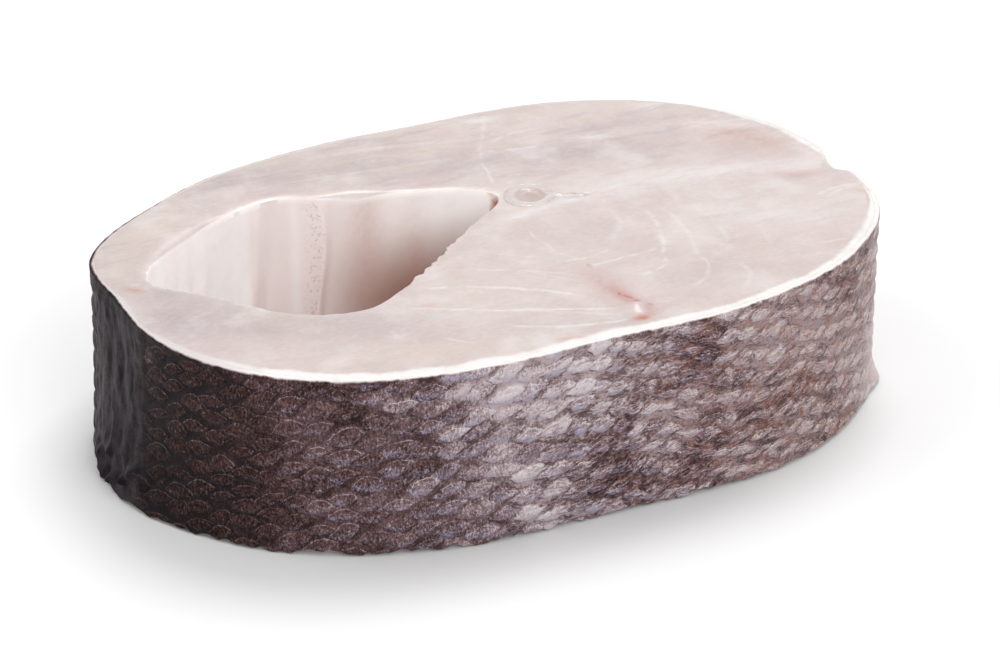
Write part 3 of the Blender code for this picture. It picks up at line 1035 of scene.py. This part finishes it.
skinLook = dict(
    # colours from the darkest scales near the belly to the palest ones
    stops=(0.0, 0.25, 0.45, 0.65, 1.0),
    # crease holds the colours of the painted shade in the creases
    crease=((24, 22, 25), (42, 31, 33), (62, 43, 44), (76, 54, 57), (112, 90, 96)),
    ground=((18, 11, 11), (77, 53, 50), (107, 81, 84), (128, 103, 105), (208, 189, 193)),
    lens=((32, 21, 20), (90, 68, 66), (133, 112, 124), (166, 146, 155), (222, 208, 212)),
    # bright holds the colours of painted highlights, also used for the pale lines
    bright=((96, 86, 89), (132, 112, 114), (180, 168, 184), (220, 204, 208), (250, 245, 245)),
    rust=colour(142, 93, 78),
    # a painted bluish reflection on the scales
    blue=colour(158, 161, 195),
    warm=colour(230, 211, 200),
    warmLens=colour(184, 160, 153),
    vein=colour(150, 96, 66),
    gapDark=colour(34, 30, 33),
    belly=colour(62, 54, 60),
    bellyDark=colour(27, 21, 25),
    stretched=colour(226, 210, 209),
    fat=colour(246, 242, 240),
    fatWarm=colour(234, 221, 215),
    fatGrey=colour(222, 214, 214),
    fatGreyAlong=(-0.054, -0.064),
    edgeLine=colour(150, 120, 112),
    roughness=(0.36, 0.56),
    coat=(0.01, 0.16),
    # how pale the scales are along the flank from the belly, in metres; the pale peak near 86 mm is partly
    # painted sheen
    pallor=((0.0, 0.08), (0.018, 0.10), (0.030, 0.15), (0.038, 0.21), (0.046, 0.32), (0.058, 0.39),
            (0.068, 0.47), (0.078, 0.62), (0.086, 0.82), (0.094, 0.76), (0.104, 0.56), (0.120, 0.63),
            (0.130, 0.69), (0.145, 0.85), (0.160, 0.78), (0.175, 0.92), (0.201, 0.92)),
    # (along, height, reach along, reach up, amount) of paler and darker places, in millimetres; the strong
    # pale place at 92 mm is partly painted sheen
    pallorSpots=(
        (92, 34, 12, 8, 0.80), (78, 33, 4, 2, 0.28), (138, 33, 6, 3, 0.20), (142, 27, 11, 7, 0.26),
        (121, 29, 9, 7, -0.12), (115, 17, 6, 5, 0.24), (112, 12, 2, 2, 0.2), (143, 15, 9, 4, -0.20),
        (64, 34, 6, 3, 0.12), (96, 8, 10, 8, -0.08), (13, 33, 1.2, 1.2, 0.5), (160, 33, 9, 4, -0.18),
    ),
    pallorLumps=((0.10, 0.014), (0.10, 0.006)),
)


def scaleColumns(along):
    # the number of scales up to a place on the flank; they narrow towards the back
    start, end = scales["narrowing"]
    share = np.clip((along - start) / (end - start), 0.0, 1.0)
    beyond = (end - start) * (share ** 3 - share ** 4 / 2) + np.maximum(along - end, 0.0)
    return along / scales["width"] + beyond * (1 / scales["backWidth"] - 1 / scales["width"])


def scaleRise(u, v):
    # plump scales in leaning rows: how far the skin stands out, from the creases to the scales
    own = np.rint(u)
    back = smoothRamp(u, *scales["slopesTurn"])
    slope = scales["slopes"][0] + (scales["slopes"][1] - scales["slopes"][0]) * back
    slim = 1 - scales["slimmer"] * smoothRamp(u, *scales["slimTurn"])
    inside, up = -np.inf, 0.0
    for column in (own, own + np.where(u >= own, 1.0, -1.0)):
        off = u - column
        level = v + scales["skew"] * column - slope * off
        row = np.rint(level)
        shove = [np.sin(across * column + upwards * row) for across, upwards in scales["beats"]]
        rise = level - row + scales["jitter"] * (shove[0] + shove[1])
        size = slim * (1 + scales["sizeSwing"] * shove[2])
        tall = np.where(rise > 0, scales["above"], scales["below"]) * size
        depth = 1 - (off / scales["halfWide"]) ** 2 - np.abs(rise) / tall
        up = np.where(depth > inside, rise, up)
        inside = np.maximum(inside, depth)
    plump = smoothRamp(inside, -0.40, 0.60) * (1 - 0.40 * smoothRamp(up, -0.10, 0.45))
    crease = bell(inside, -0.12, 0.20) * smoothRamp(up, 0.05, -0.15)
    return plump - 0.30 * crease


def scalePlace(along, height, where):
    # columns and rows of scales up to a place on the flank; both wander a little
    stir = 1 + scales["backStir"] * smoothRamp(along, *scales["stirAlong"])
    walk, climb = along, height
    for amount, size in scales["wanders"]:
        walk = walk + amount * stir * softNoise(where, size)
        climb = climb + amount * stir * softNoise(where + 0.3, size)
    return scaleColumns(walk), climb / scales["tall"]


def scaleInset(along, u, v, where):
    # how far the wall lies behind the outermost scales
    back = smoothRamp(scaleColumns(along), *scales["slopesTurn"])
    plump = 0.80 + 0.30 * softNoise(where + 0.7, 0.010)
    return scales["relief"] * (1 - (1 - scales["backRelief"]) * back) * plump * (1 - scaleRise(u, v))


def skinAngles():
    around, length = outlineLength()
    wanted = np.linspace(0, length[-1], skinGrid["columns"], endpoint=False)
    angle = np.interp(wanted, length, around)
    back = np.interp(0.0, around, length)
    # along runs from the belly to the back on both flanks
    along = np.where(wanted < back, wanted, (length[-1] - wanted) * back / (length[-1] - back))
    return angle, along


def skinEdges(angle):
    # heights of the wall's ragged foot and of its rim
    grid = skinGrid
    spot = grid["raggedRadius"] * np.stack([np.cos(angle), np.sin(angle), np.zeros_like(angle)], axis=-1)
    foot = grid["foot"] + grid["footRagged"] * (0.5 + 0.5 * wave(angle, grid["footBeats"]))
    rim = faceHeight(outlinePoints(angle)) - grid["rimRound"]
    return foot + layeredNoise(spot, grid["footRough"]), rim + layeredNoise(spot, grid["rimRough"])


def fatWidth(angle):
    # painted width of the white fat, in metres
    turns, widths = zip(*fatWidths)
    return np.interp(np.degrees(turnBetween(angle, 0.0)), turns, widths) / 1000


def makeSkin():
    grid = skinGrid
    angle, along = skinAngles()
    thick = skinThickness(angle)
    foot, rim = skinEdges(angle)
    belly = 1 - smoothRamp(along, *scales["bellyAlong"])
    curl = grid["lipCurl"] * turnBell(angle, grid["lipAngle"], math.radians(grid["lipReach"]))
    outline = outlinePoints(angle)
    rows = []

    def addRow(place, height, cut, flank=None):
        flank = rows[-1][2] if flank is None else flank
        rows.append((atHeight(place, height), cut + np.zeros_like(angle), flank))

    for row in range(grid["wallRows"] + 1):
        height = foot + (rim - foot) * (row / grid["wallRows"])
        where = atHeight(outline, height)
        u, v = scalePlace(along, height, where)
        inset = scaleInset(along, u, v, where) * (1 - belly) + wrinkles(angle, height, where) * belly
        inset = inset * smoothRamp(rim - height, 0.0, grid["rimFade"])
        inset = inset * (0.35 + 0.65 * smoothRamp(height - foot, 0.0, grid["footFade"]))
        inset = inset - curl * (1 - smoothRamp(height, 0.0, grid["lipHeight"])) ** 1.5
        place = wallRing(angle, inset, height / slab["height"])
        addRow(place, height, height - rim, np.stack([u, v, np.zeros_like(u)], axis=-1))
    for step in range(1, grid["roundRows"] + 1):
        turn = math.pi / 2 * step / grid["roundRows"]
        place = wallRing(angle, grid["rimRound"] * (1 - math.cos(turn)) * np.ones_like(angle), 1.0)
        addRow(place, rim + (faceHeight(place) - rim) * math.sin(turn), grid["rimRound"] * turn)
    reach = grid["rimRound"] * (math.pi / 2 - 1)
    for step in range(1, grid["bandRows"] + 1):
        inset = grid["rimRound"] + (thick - grid["rimRound"]) * (step / grid["bandRows"])
        place = wallRing(angle, inset, 1.0)
        dive = grid["bandDive"] * smoothRamp(inset - grid["rimRound"], *grid["diveAcross"])
        addRow(place, faceHeight(place) + rimRelief(place, inset) - dive, reach + inset)
    for level, drop in grid["hiddenRows"]:
        place = wallRing(angle, thick + grid["hiddenTuck"], level)
        addRow(place, np.maximum(slab["height"] * level - drop, foot + grid["hiddenTuck"]), reach + thick)

    places, cut, flank = (np.stack(part, axis=1) for part in zip(*rows))
    wide = np.ones(places.shape[:2])
    return layRing("scalySkin", places, {
        "cut": cut * 1000 - 0.5 * swelling(angle, grid["paintedCuts"])[:, None],
        "rind": cut / fatWidth(angle)[:, None],
        "flank": flank,
        "belly": belly[:, None] * wide,
        "pallor": pallorField(along[:, None] * wide, places),
        "stretched": stretchedField(angle, along, places),
    })


def wrinkles(angle, height, where):
    # fine upright folds of the thin belly skin, and the crumpled lumps at its foot
    grid = skinGrid
    sway, squeeze, size = grid["foldSway"]
    bent = where + sway * softNoise(where * (1, 1, squeeze), size)[..., None] * np.array((1, 1, 0))
    folds = 0.5
    for amount, squeeze, size in grid["folds"]:
        folds = folds + amount * softNoise(bent * (1, 1, squeeze), size)
    low = 1 - smoothRamp(height, *grid["frillUp"])
    lumps = low * smoothRamp(softNoise(where, grid["frillSize"]), -0.3, 0.6) * grid["frill"]
    return grid["wrinkle"] * (folds - 0.8) - lumps * turnBell(angle, *grid["frillAround"])


def pallorField(along, places):
    # how pale the scales are, with soft lumps; partly painted sheen in the middle of the flank
    spots, values = zip(*skinLook["pallor"])
    base = np.interp(along, spots, values)
    u, z = along * 1000, places[..., 2] * 1000
    for middle, tall, reachAlong, reachUp, amount in skinLook["pallorSpots"]:
        base = base + amount * np.exp(-((u - middle) / reachAlong) ** 2 - ((z - tall) / reachUp) ** 2)
    lumps = layeredNoise(places, skinLook["pallorLumps"])
    return np.clip(base + lumps * (0.25 + base), 0.0, 0.95)


# (angle, reach, amount) and the levels of the pale strip and slit at the end of the back
stretched = dict(
    along=(0.158, 0.180),
    fade=0.75,
    fadeUp=(0.25, 0.60),
    size=0.006,
    rough=(-0.9, 0.4),
    strip=(-14, 0.09, 0.8),
    stripUp=(0.40, 0.75),
    slit=(-17, 0.014, 1.2),
    slitUp=(0.64, 0.74),
)


def stretchedField(angle, along, places):
    z = places[..., 2] / slab["height"]
    end = smoothRamp(along, *stretched["along"])[:, None]
    end = end * (1 - stretched["fade"] * smoothRamp(z, *stretched["fadeUp"]))
    end = end * smoothRamp(softNoise(places * (1, 1, 0.5), stretched["size"]), *stretched["rough"])
    strip, slit = (amount * turnBell(angle, middle, reach)[:, None]
                   for middle, reach, amount in (stretched["strip"], stretched["slit"]))
    strip = strip * (1 - smoothRamp(z, *stretched["stripUp"]))
    return end + strip + slit * smoothRamp(z, *stretched["slitUp"])


# Materials

def makeRindGroup():
    # white fat up to its painted width, then the flesh
    group, given, out = newGroup(
        "white rind",
        {"Rind": "Float", "Noise": "Float", "Fat": "Color", "Flesh": "Color"},
        {"Color": "Color"})
    wavy = given["Rind"] + (given["Noise"] - 0.5) * 0.9
    fill(out, {"Color": tint(ramp(wavy, 1.20, 0.72), given["Flesh"], given["Fat"])})
    return group


rindGroup = makeRindGroup()


def rindColour(where, lumps, flesh):
    # white fat, warmer in places and greyer towards the belly, over the flesh
    look = skinLook
    fat = layered(
        look["fat"],
        (ramp(lumps, 0.48, 0.70, 0.0, 0.6), look["fatWarm"]),
        (ramp(partsOf(where)[0], *look["fatGreyAlong"], 0.0, 0.9), look["fatGrey"]))
    values = {"Rind": attribute(where.tree, "rind"), "Noise": lumps, "Fat": fat, "Flesh": flesh}
    return useGroup(where.tree, rindGroup, values)["Color"]


def fleshMaterial():
    look = fleshLook
    material, tree, shader, where = newMaterial("wet raw flesh")
    painted = {name: attribute(tree, name) for name in
               ("mauve", "cream", "pale", "lining", "rosy", "cavityShade", "stain", "dots", "blood")}
    sway = (noise(where, 260.0, 2.0, 0.5, "Color") - (0.5, 0.5, 0.5)) * (0.0011, 0.0011, 0.0)
    place = (where + sway) * (1.0, 1.0, 0.0)
    mottle = noise(where, 150.0, 4.0, 0.6)
    grain = noise(where, 1500.0, 3.0, 0.6)
    streaks = noise(where * (1.0, 3.2, 0.4), 240.0, 4.0)
    bands = noise(where * (1.0, 4.5, 0.2), 75.0, 3.0, 0.5)
    fine = noise(where * (1.0, 2.2, 0.5), 800.0, 3.0, 0.7)
    clouds = noise(where, 95.0, 5.0, 0.6)
    far = ramp(partsOf(where)[1], 0.008, 0.022, 0.35, 1.0)
    flesh = layered(
        look["pink"],
        (ramp(mottle, 0.35, 0.7), look["rose"]),
        (painted["mauve"] * ramp(mottle, 0.2, 0.7, 0.6, 1.0), look["mauve"]),
        (painted["cream"] * 0.85, look["cream"]),
        (painted["pale"] * ramp(streaks, 0.25, 0.7, 0.55, 1.0), look["pale"]),
        (far * ramp(bands, 0.52, 0.68, 0.0, 0.45), look["cream"]),
        (far * ramp(bands, 0.48, 0.34, 0.0, 0.55), look["mauve"]),
        (ramp(streaks, 0.56, 0.78, 0.0, 0.22), look["pale"]),
        (ramp(streaks, 0.44, 0.28, 0.0, 0.12), look["mauve"]),
        (ramp(fine, 0.50, 0.68, 0.0, 0.22), look["pale"]),
        (ramp(fine, 0.48, 0.32, 0.0, 0.20), look["mauve"]),
        (ramp(clouds, 0.50, 0.70, 0.0, 0.45), look["pale"]),
        (ramp(clouds, 0.46, 0.30, 0.0, 0.30), look["rose"]))

    onFace = maths("SUBTRACT", 1.0, painted["lining"], clamp=True)
    lines = drawLines(place, septa) * ramp(noise(where, 380.0), 0.34, 0.58, 0.25, 1.0) * onFace
    bloody = drawLines(place, bloodLines) * onFace * ramp(noise(where, 800.0), 0.38, 0.60, 0.20, 1.0)
    dots = painted["dots"] * ramp(noise(where, 1500.0, 2.0), 0.54, 0.64)
    stain = painted["stain"] * ramp(noise(where, 700.0), 0.3, 0.6, 0.55, 1.0)
    cover = layered(
        look["lining"],
        (painted["rosy"], look["liningPink"]),
        (ramp(mottle, 0.45, 0.7, 0.0, 0.25), look["liningPink"]))
    flesh = layered(
        flesh,
        (lines, look["whiteLine"]),
        (painted["lining"], cover),
        # painted shade at the foot of the cavity
        (painted["cavityShade"], look["cavityShade"]),
        (highest(stain, dots), look["stain"]),
        (highest(painted["blood"], bloody * 0.75), look["blood"]),
        (drawLines(place, edgeLines) * onFace, look["edgeLine"]))
    fill(shader, {
        "Base Color": rindColour(where, mottle, flesh),
        "Roughness": ramp(mottle, 0.3, 0.7, *look["roughness"]),
        "Subsurface Weight": 0.20, "Subsurface Radius": (1.0, 0.42, 0.30), "Subsurface Scale": 0.003,
        "Coat Weight": look["coat"], "Coat Roughness": 0.12,
        "Normal": bumped(grain * 0.40 + lines * 0.5 + streaks * 0.7, 0.45, 0.00016)})
    return material


def makeScaleGroup():
    # the same plump scales as in the mesh, for their colours
    group, given, out = newGroup(
        "scale pattern", {"Flank": "Vector"},
        {"Inside": "Float", "Up": "Float", "Off": "Float", "Tone": "Color"})
    u, v, _ = partsOf(given["Flank"])
    own = maths("ROUND", u)
    side = maths("GREATER_THAN", u - own, 0.0) * 2.0 - 1.0
    slope = ramp(u, *scales["slopesTurn"], *scales["slopes"])
    slim = ramp(u, *scales["slimTurn"], 1.0, 1 - scales["slimmer"])
    found = []
    for column in (own, own + side):
        off = u - column
        level = v + column * scales["skew"] - slope * off
        row = maths("ROUND", level)
        name = joined(column, row)
        tone = addNode(group, "ShaderNodeTexWhiteNoise", {"Vector": name}, noise_dimensions="3D")
        shove = [maths("SINE", maths("DOT_PRODUCT", name, (*beat, 0.0))) for beat in scales["beats"]]
        up = level - row + (shove[0] + shove[1]) * scales["jitter"]
        size = (shove[2] * scales["sizeSwing"] + 1.0) * slim
        tall = maths("GREATER_THAN", up, 0.0) * (scales["above"] - scales["below"]) + scales["below"]
        across = off / scales["halfWide"]
        found.append({"Inside": 1.0 - across * across - abs(up) / (tall * size),
                      "Up": up, "Off": across, "Tone": Value(tone.outputs["Color"])})
    first, second = found
    wins = maths("GREATER_THAN", second["Inside"], first["Inside"])
    nearest = {name: first[name] + (second[name] - first[name]) * wins for name in ("Up", "Off")}
    fill(out, {**nearest, "Inside": highest(first["Inside"], second["Inside"]),
               "Tone": tint(wins, first["Tone"], second["Tone"])})
    return group


def skinMaterial():
    look = skinLook
    material, tree, shader, where = newMaterial("scaly skin")
    flank = attribute(tree, "flank", "Vector")
    u = partsOf(flank)[0]
    wander = (noise(where, 900.0, 4.0, 0.5, "Color") - (0.5, 0.5, 0.5)) * (0.30, 0.30, 0.0)
    stirred = addNode(tree, "ShaderNodeVectorMath", {
        "Vector": wander, "Scale": ramp(u, 13.0, 20.0, 0.55, 1.0)}, operation="SCALE")
    found = useGroup(tree, makeScaleGroup(), {"Flank": flank + Value(stirred.outputs["Vector"])})
    inside, up, off = found["Inside"], found["Up"], found["Off"]
    tones = addNode(tree, "ShaderNodeSeparateColor", {"Color": found["Tone"]}).outputs
    toneA, toneB, toneC = (Value(output) for output in tones)
    given = attribute(tree, "pallor")
    back = ramp(u, 15.5, 20.0)
    speck = noise(where, 1900.0, 4.0, 0.9)
    blotch = noise(where, 330.0, 4.0, 0.65)
    mottled = blotch - 0.5
    # towards the back the fibres run along each scale, nearer the belly they stand upright
    upright = noise(flank * (13.0, 4.2, 0.0), 1.0, 5.0, 0.8)
    lying = noise(joined(off * 1.5, up * 13.0) + found["Tone"] * (9.0, 9.0, 9.0), 1.0, 4.0, 0.75)
    comb = upright + (lying - upright) * (back * 0.75)
    fuzz = (comb - 0.5) * ramp(back, 0.0, 1.0, 3.0, 4.8) + (speck - 0.5) * ramp(back, 0.0, 1.0, 3.2, 1.7)
    pallor = given + (toneA - 0.5) * ramp(given, 0.1, 0.6, 0.06, 0.40)
    pallor = pallor + fuzz * ramp(given, 0.0, 0.5, 0.42, 0.50)
    pallor = pallor + mottled * ramp(given, 0.1, 0.6, 0.25, 0.90)

    def shades(value, name):
        return colourSteps(value, list(zip(look["stops"], look[name])))

    # darker between the scales near the belly
    darkGaps = ramp(u, 9.0, 5.0, 0.0, 0.75) * ramp(inside + mottled, 0.40, -0.05)
    rusty = ramp(u, 17.0, 28.0, 0.10, 0.62) * ramp(blotch, 0.38, 0.62) * ramp(pallor, 0.1, 0.5)
    ground = layered(
        shades(pallor + fuzz * (back * 0.30), "ground"), (darkGaps, look["gapDark"]), (rusty, look["rust"]))
    lens = tint(ramp(u, 26.0, 33.0, 0.0, 0.5), shades(pallor, "lens"), look["warmLens"])
    bright = tint(ramp(u, 26.0, 34.0, 0.0, 0.65), shades(pallor, "bright"), look["warm"])

    # the pale free part of each scale, with a combed upper border
    border = up - ramp(given, 0.15, 0.90, -0.14, 0.40) - fuzz * 0.15
    edge = inside + fuzz * 0.42 + mottled * 1.3
    pale = ramp(border, 0.18, -0.14) * ramp(edge, -0.30, 0.45) * ramp(toneB, 0.0, 0.8, 0.50, 1.0)
    covering = pale * (ramp(u, 11.0, 15.0, 0.50, 1.0) * ramp(u, 20.0, 24.5, 1.0, 0.60))
    # painted highlights: bright flecks on the scales, strongest on their pale parts; below, a painted bluish
    # reflection near their lower edges
    shine = ramp(fuzz, 0.08, 0.75) * (pale * 0.75 + 0.15) * ramp(given, 0.10, 0.50, 0.45, 1.0)
    blue = ramp(up + off * 0.15, 0.04, -0.20) * pale * ramp(given, 0.22, 0.50, 0.0, 0.85)
    blue = blue * ramp(u, 22.0, 33.0, 1.0, 0.25) * ramp(fuzz, -0.15, 0.20) * ramp(blotch, 0.38, 0.60)

    # thin pale lines along the upper border; painted shade in the creases below and between the scales
    rings = inside * ramp(u, 15.0, 22.0, 1.6, 2.6) + toneC + mottled * 1.3
    line = ramp(maths("PINGPONG", rings, 0.5), 0.15, 0.0)
    line = line * (ramp(up, -0.10, 0.04) * ramp(inside, -0.10, 0.08)) * ramp(u, 13.0, 19.0)
    crisp = ramp(abs(inside - ramp(toneC, 0.0, 1.0, 0.0, 0.26)), 0.085, 0.0)
    crisp = crisp * ramp(up, -0.02, 0.06) * ramp(u, 17.0, 24.0, 1.0, 0.6)
    line = highest(line, crisp) * ramp(speck, 0.36, 0.58, 0.25, 1.0) * ramp(toneB, 0.15, 0.75, 0.45, 1.0)
    under = ramp(abs(inside + 0.06), 0.20, 0.02) * ramp(up, 0.06, -0.06)
    under = under * ramp(abs(off), 0.1, 0.75, 0.40, 1.0) * ramp(blotch, 0.38, 0.58, 1.0, 0.30)
    corner = ramp(inside, -0.05, -0.30) * ramp(blotch, 0.35, 0.60, 0.60, 0.10)

    veins = ramp(abs(noise(where * (1.0, 1.0, 0.45), 190.0, 3.0, 0.6) - 0.5), 0.016, 0.0)
    veins = veins * (ramp(u, 28.0, 32.0) * ramp(u, 42.0, 37.0)) * ramp(blotch, 0.42, 0.58, 0.0, 0.8)
    pulled = attribute(tree, "stretched") * ramp(pale + fuzz, -0.2, 0.9, 0.55, 1.0)
    belly = attribute(tree, "belly")
    folds = noise((where + wander * (0.006, 0.006, 0.0)) * (1.0, 1.0, 0.30), 560.0, 5.0, 0.7)
    bare = tint(ramp(folds + mottled * 0.5, 0.36, 0.66), look["bellyDark"], look["belly"])
    # the cut through the skin shows white fat, with a ragged outer border
    ragged = attribute(tree, "cut") + mottled * 0.9
    fat = ramp(ragged, 0.15, 0.60)
    skin = layered(
        ground,
        (covering, lens),
        # painted highlights, then a painted bluish reflection
        (shine, bright),
        (blue, look["blue"]),
        (line, bright),
        # painted shade in the creases below and between the scales
        (highest(under, corner) * 0.95, shades(given, "crease")),
        (veins, look["vein"]),
        (pulled, look["stretched"]),
        (belly, bare),
        (ramp(abs(ragged - 0.30), 0.18, 0.0) * 0.5, look["edgeLine"]),
        (fat, rindColour(where, blotch, fleshLook["pink"])))
    height = ramp(inside, -0.15, 0.30) * 0.8 - under * 0.7 + comb * 0.9 + speck * 0.8
    fill(shader, {
        "Base Color": skin, "Roughness": ramp(speck, 0.3, 0.7, *look["roughness"]),
        "Coat Weight": ramp(given, 0.1, 0.9, *look["coat"]), "Coat Roughness": 0.22,
        "Specular IOR Level": 0.06, "Subsurface Weight": 0.06, "Subsurface Scale": 0.0012,
        "Normal": bumped(height * ((1.0 - fat) * (1.0 - belly)), 0.7, 0.00022)})
    return material


boneLook = dict(
    # colours from the middle of the disc to the bone's edge
    rings=((0.0, (238, 228, 224)), (0.045, (206, 184, 177)), (0.30, (208, 187, 181)), (0.42, (220, 204, 199)),
           (0.52, (211, 191, 185)), (0.64, (216, 199, 194)), (0.74, (234, 224, 221)), (0.86, (226, 213, 210)),
           (1.0, (232, 221, 219))),
    white=colour(243, 236, 235),
    slot=((18.9, 8.3), (21.0, 7.5), (22.9, 6.6), 0.60, 0.35),
    slotColour=colour(198, 160, 136),
    dark=colour(200, 176, 168),
    spineAlong=(0.0172, 0.0190),
    roughness=(0.26, 0.42),
)


def boneMaterial():
    look = boneLook
    material, tree, shader, where = newMaterial("cut bone")
    speck = noise(where, 1100.0)
    blotch = noise(where, 420.0)
    share = attribute(tree, "ringShare") + (speck + blotch - 1.0) * 0.16
    spine = ramp(partsOf(where)[0], *look["spineAlong"])
    bone = layered(
        colourSteps(share, look["rings"], boneLevel),
        (ramp(blotch, 0.50, 0.70, 0.0, 0.35), look["dark"]),
        (spine * ramp(speck, 0.3, 0.6, 0.6, 1.0), look["white"]),
        (drawLines(where * (1.0, 1.0, 0.0), (look["slot"],)), look["slotColour"]))
    fill(shader, {
        "Base Color": bone, "Roughness": ramp(speck, 0.3, 0.7, *look["roughness"]),
        "Subsurface Weight": 0.35, "Subsurface Radius": (1.0, 0.5, 0.4), "Subsurface Scale": 0.002,
        "Coat Weight": 0.25, "Coat Roughness": 0.12,
        "Normal": bumped(speck, 0.35, 0.00016)})
    return material


def dress(piece, material, node, sharp):
    # the piece takes the place of the solid's node; edges sharper than the angle stay sharp
    piece.data.materials.append(material)
    piece.data.set_sharp_from_angle(angle=math.radians(sharp))
    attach(piece, "root")
    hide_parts(node)
    print(piece.name, "done:", len(piece.data.vertices), "vertices,", len(piece.data.polygons), "faces")


dress(makeFlesh(), fleshMaterial(), "flesh", 60)
dress(makeSkin(), skinMaterial(), "skin", 70)
dress(makeVertebra(), boneMaterial(), "backbone", 50)


# Floor, light and camera

studio = dict(
    floorSize=6.0,
    floor=colour(224, 224, 224, 1.0),
    world=(1.0, 1.0, 1.0, 1.0),
    worldStrength=0.74,
    # place, aim, size and power of each soft light
    lights=(
        ((0.30, 0.27, 1.08), (0.0, 0.0, 0.0), 0.5, 6.5),
        ((-0.85, 0.35, 1.00), (0.0, 0.0, 0.02), 0.8, 4.2),
        ((0.15, -0.95, 0.72), (0.0, 0.0, 0.02), 0.7, 4.9),
    ),
    cameraPlace=(-0.2242, -0.5525, 0.3599),
    cameraAim=(0.0130, 0.0239, 0.0),
    lens=129.6,
    sensorWidth=36.0,
    clipStart=0.01,
)


def addAimed(name, data, place, aim):
    # a lamp or camera that looks from its place at its aim
    made = addObject(name, data)
    made.location = place
    made.rotation_euler = (Vector(aim) - Vector(place)).to_track_quat("-Z", "Y").to_euler()
    return made


def makeFloor():
    bm = bmesh.new()
    bmesh.ops.create_grid(bm, x_segments=1, y_segments=1, size=studio["floorSize"] / 2)
    mesh = bpy.data.meshes.new("floor")
    bm.to_mesh(mesh)
    bm.free()
    material = bpy.data.materials.new("pale floor")
    material.use_nodes = True
    fill(material.node_tree.nodes["Principled BSDF"], {
        "Base Color": studio["floor"], "Roughness": 0.9, "Specular IOR Level": 0.1})
    mesh.materials.append(material)
    addObject("floor", mesh)


def makeLight():
    world = bpy.data.worlds.new("studio")
    bpy.context.scene.world = world
    world.use_nodes = True
    back = world.node_tree.nodes.get("Background") or world.node_tree.nodes.new("ShaderNodeBackground")
    fill(back, {"Color": studio["world"], "Strength": studio["worldStrength"]})
    for index, (place, aim, size, power) in enumerate(studio["lights"]):
        data = bpy.data.lights.new("soft light %d" % index, "AREA")
        data.shape = "SQUARE"
        data.size = size
        data.energy = power
        addAimed(data.name, data, place, aim)
    bpy.context.scene.view_settings.view_transform = "Standard"


def makeCamera():
    data = bpy.data.cameras.new("camera")
    data.lens = studio["lens"]
    data.sensor_width = studio["sensorWidth"]
    data.clip_start = studio["clipStart"]
    bpy.context.scene.camera = addAimed("camera", data, studio["cameraPlace"], studio["cameraAim"])


makeFloor()
makeLight()
makeCamera()
print("studio done")

bpy.context.view_layer.update()
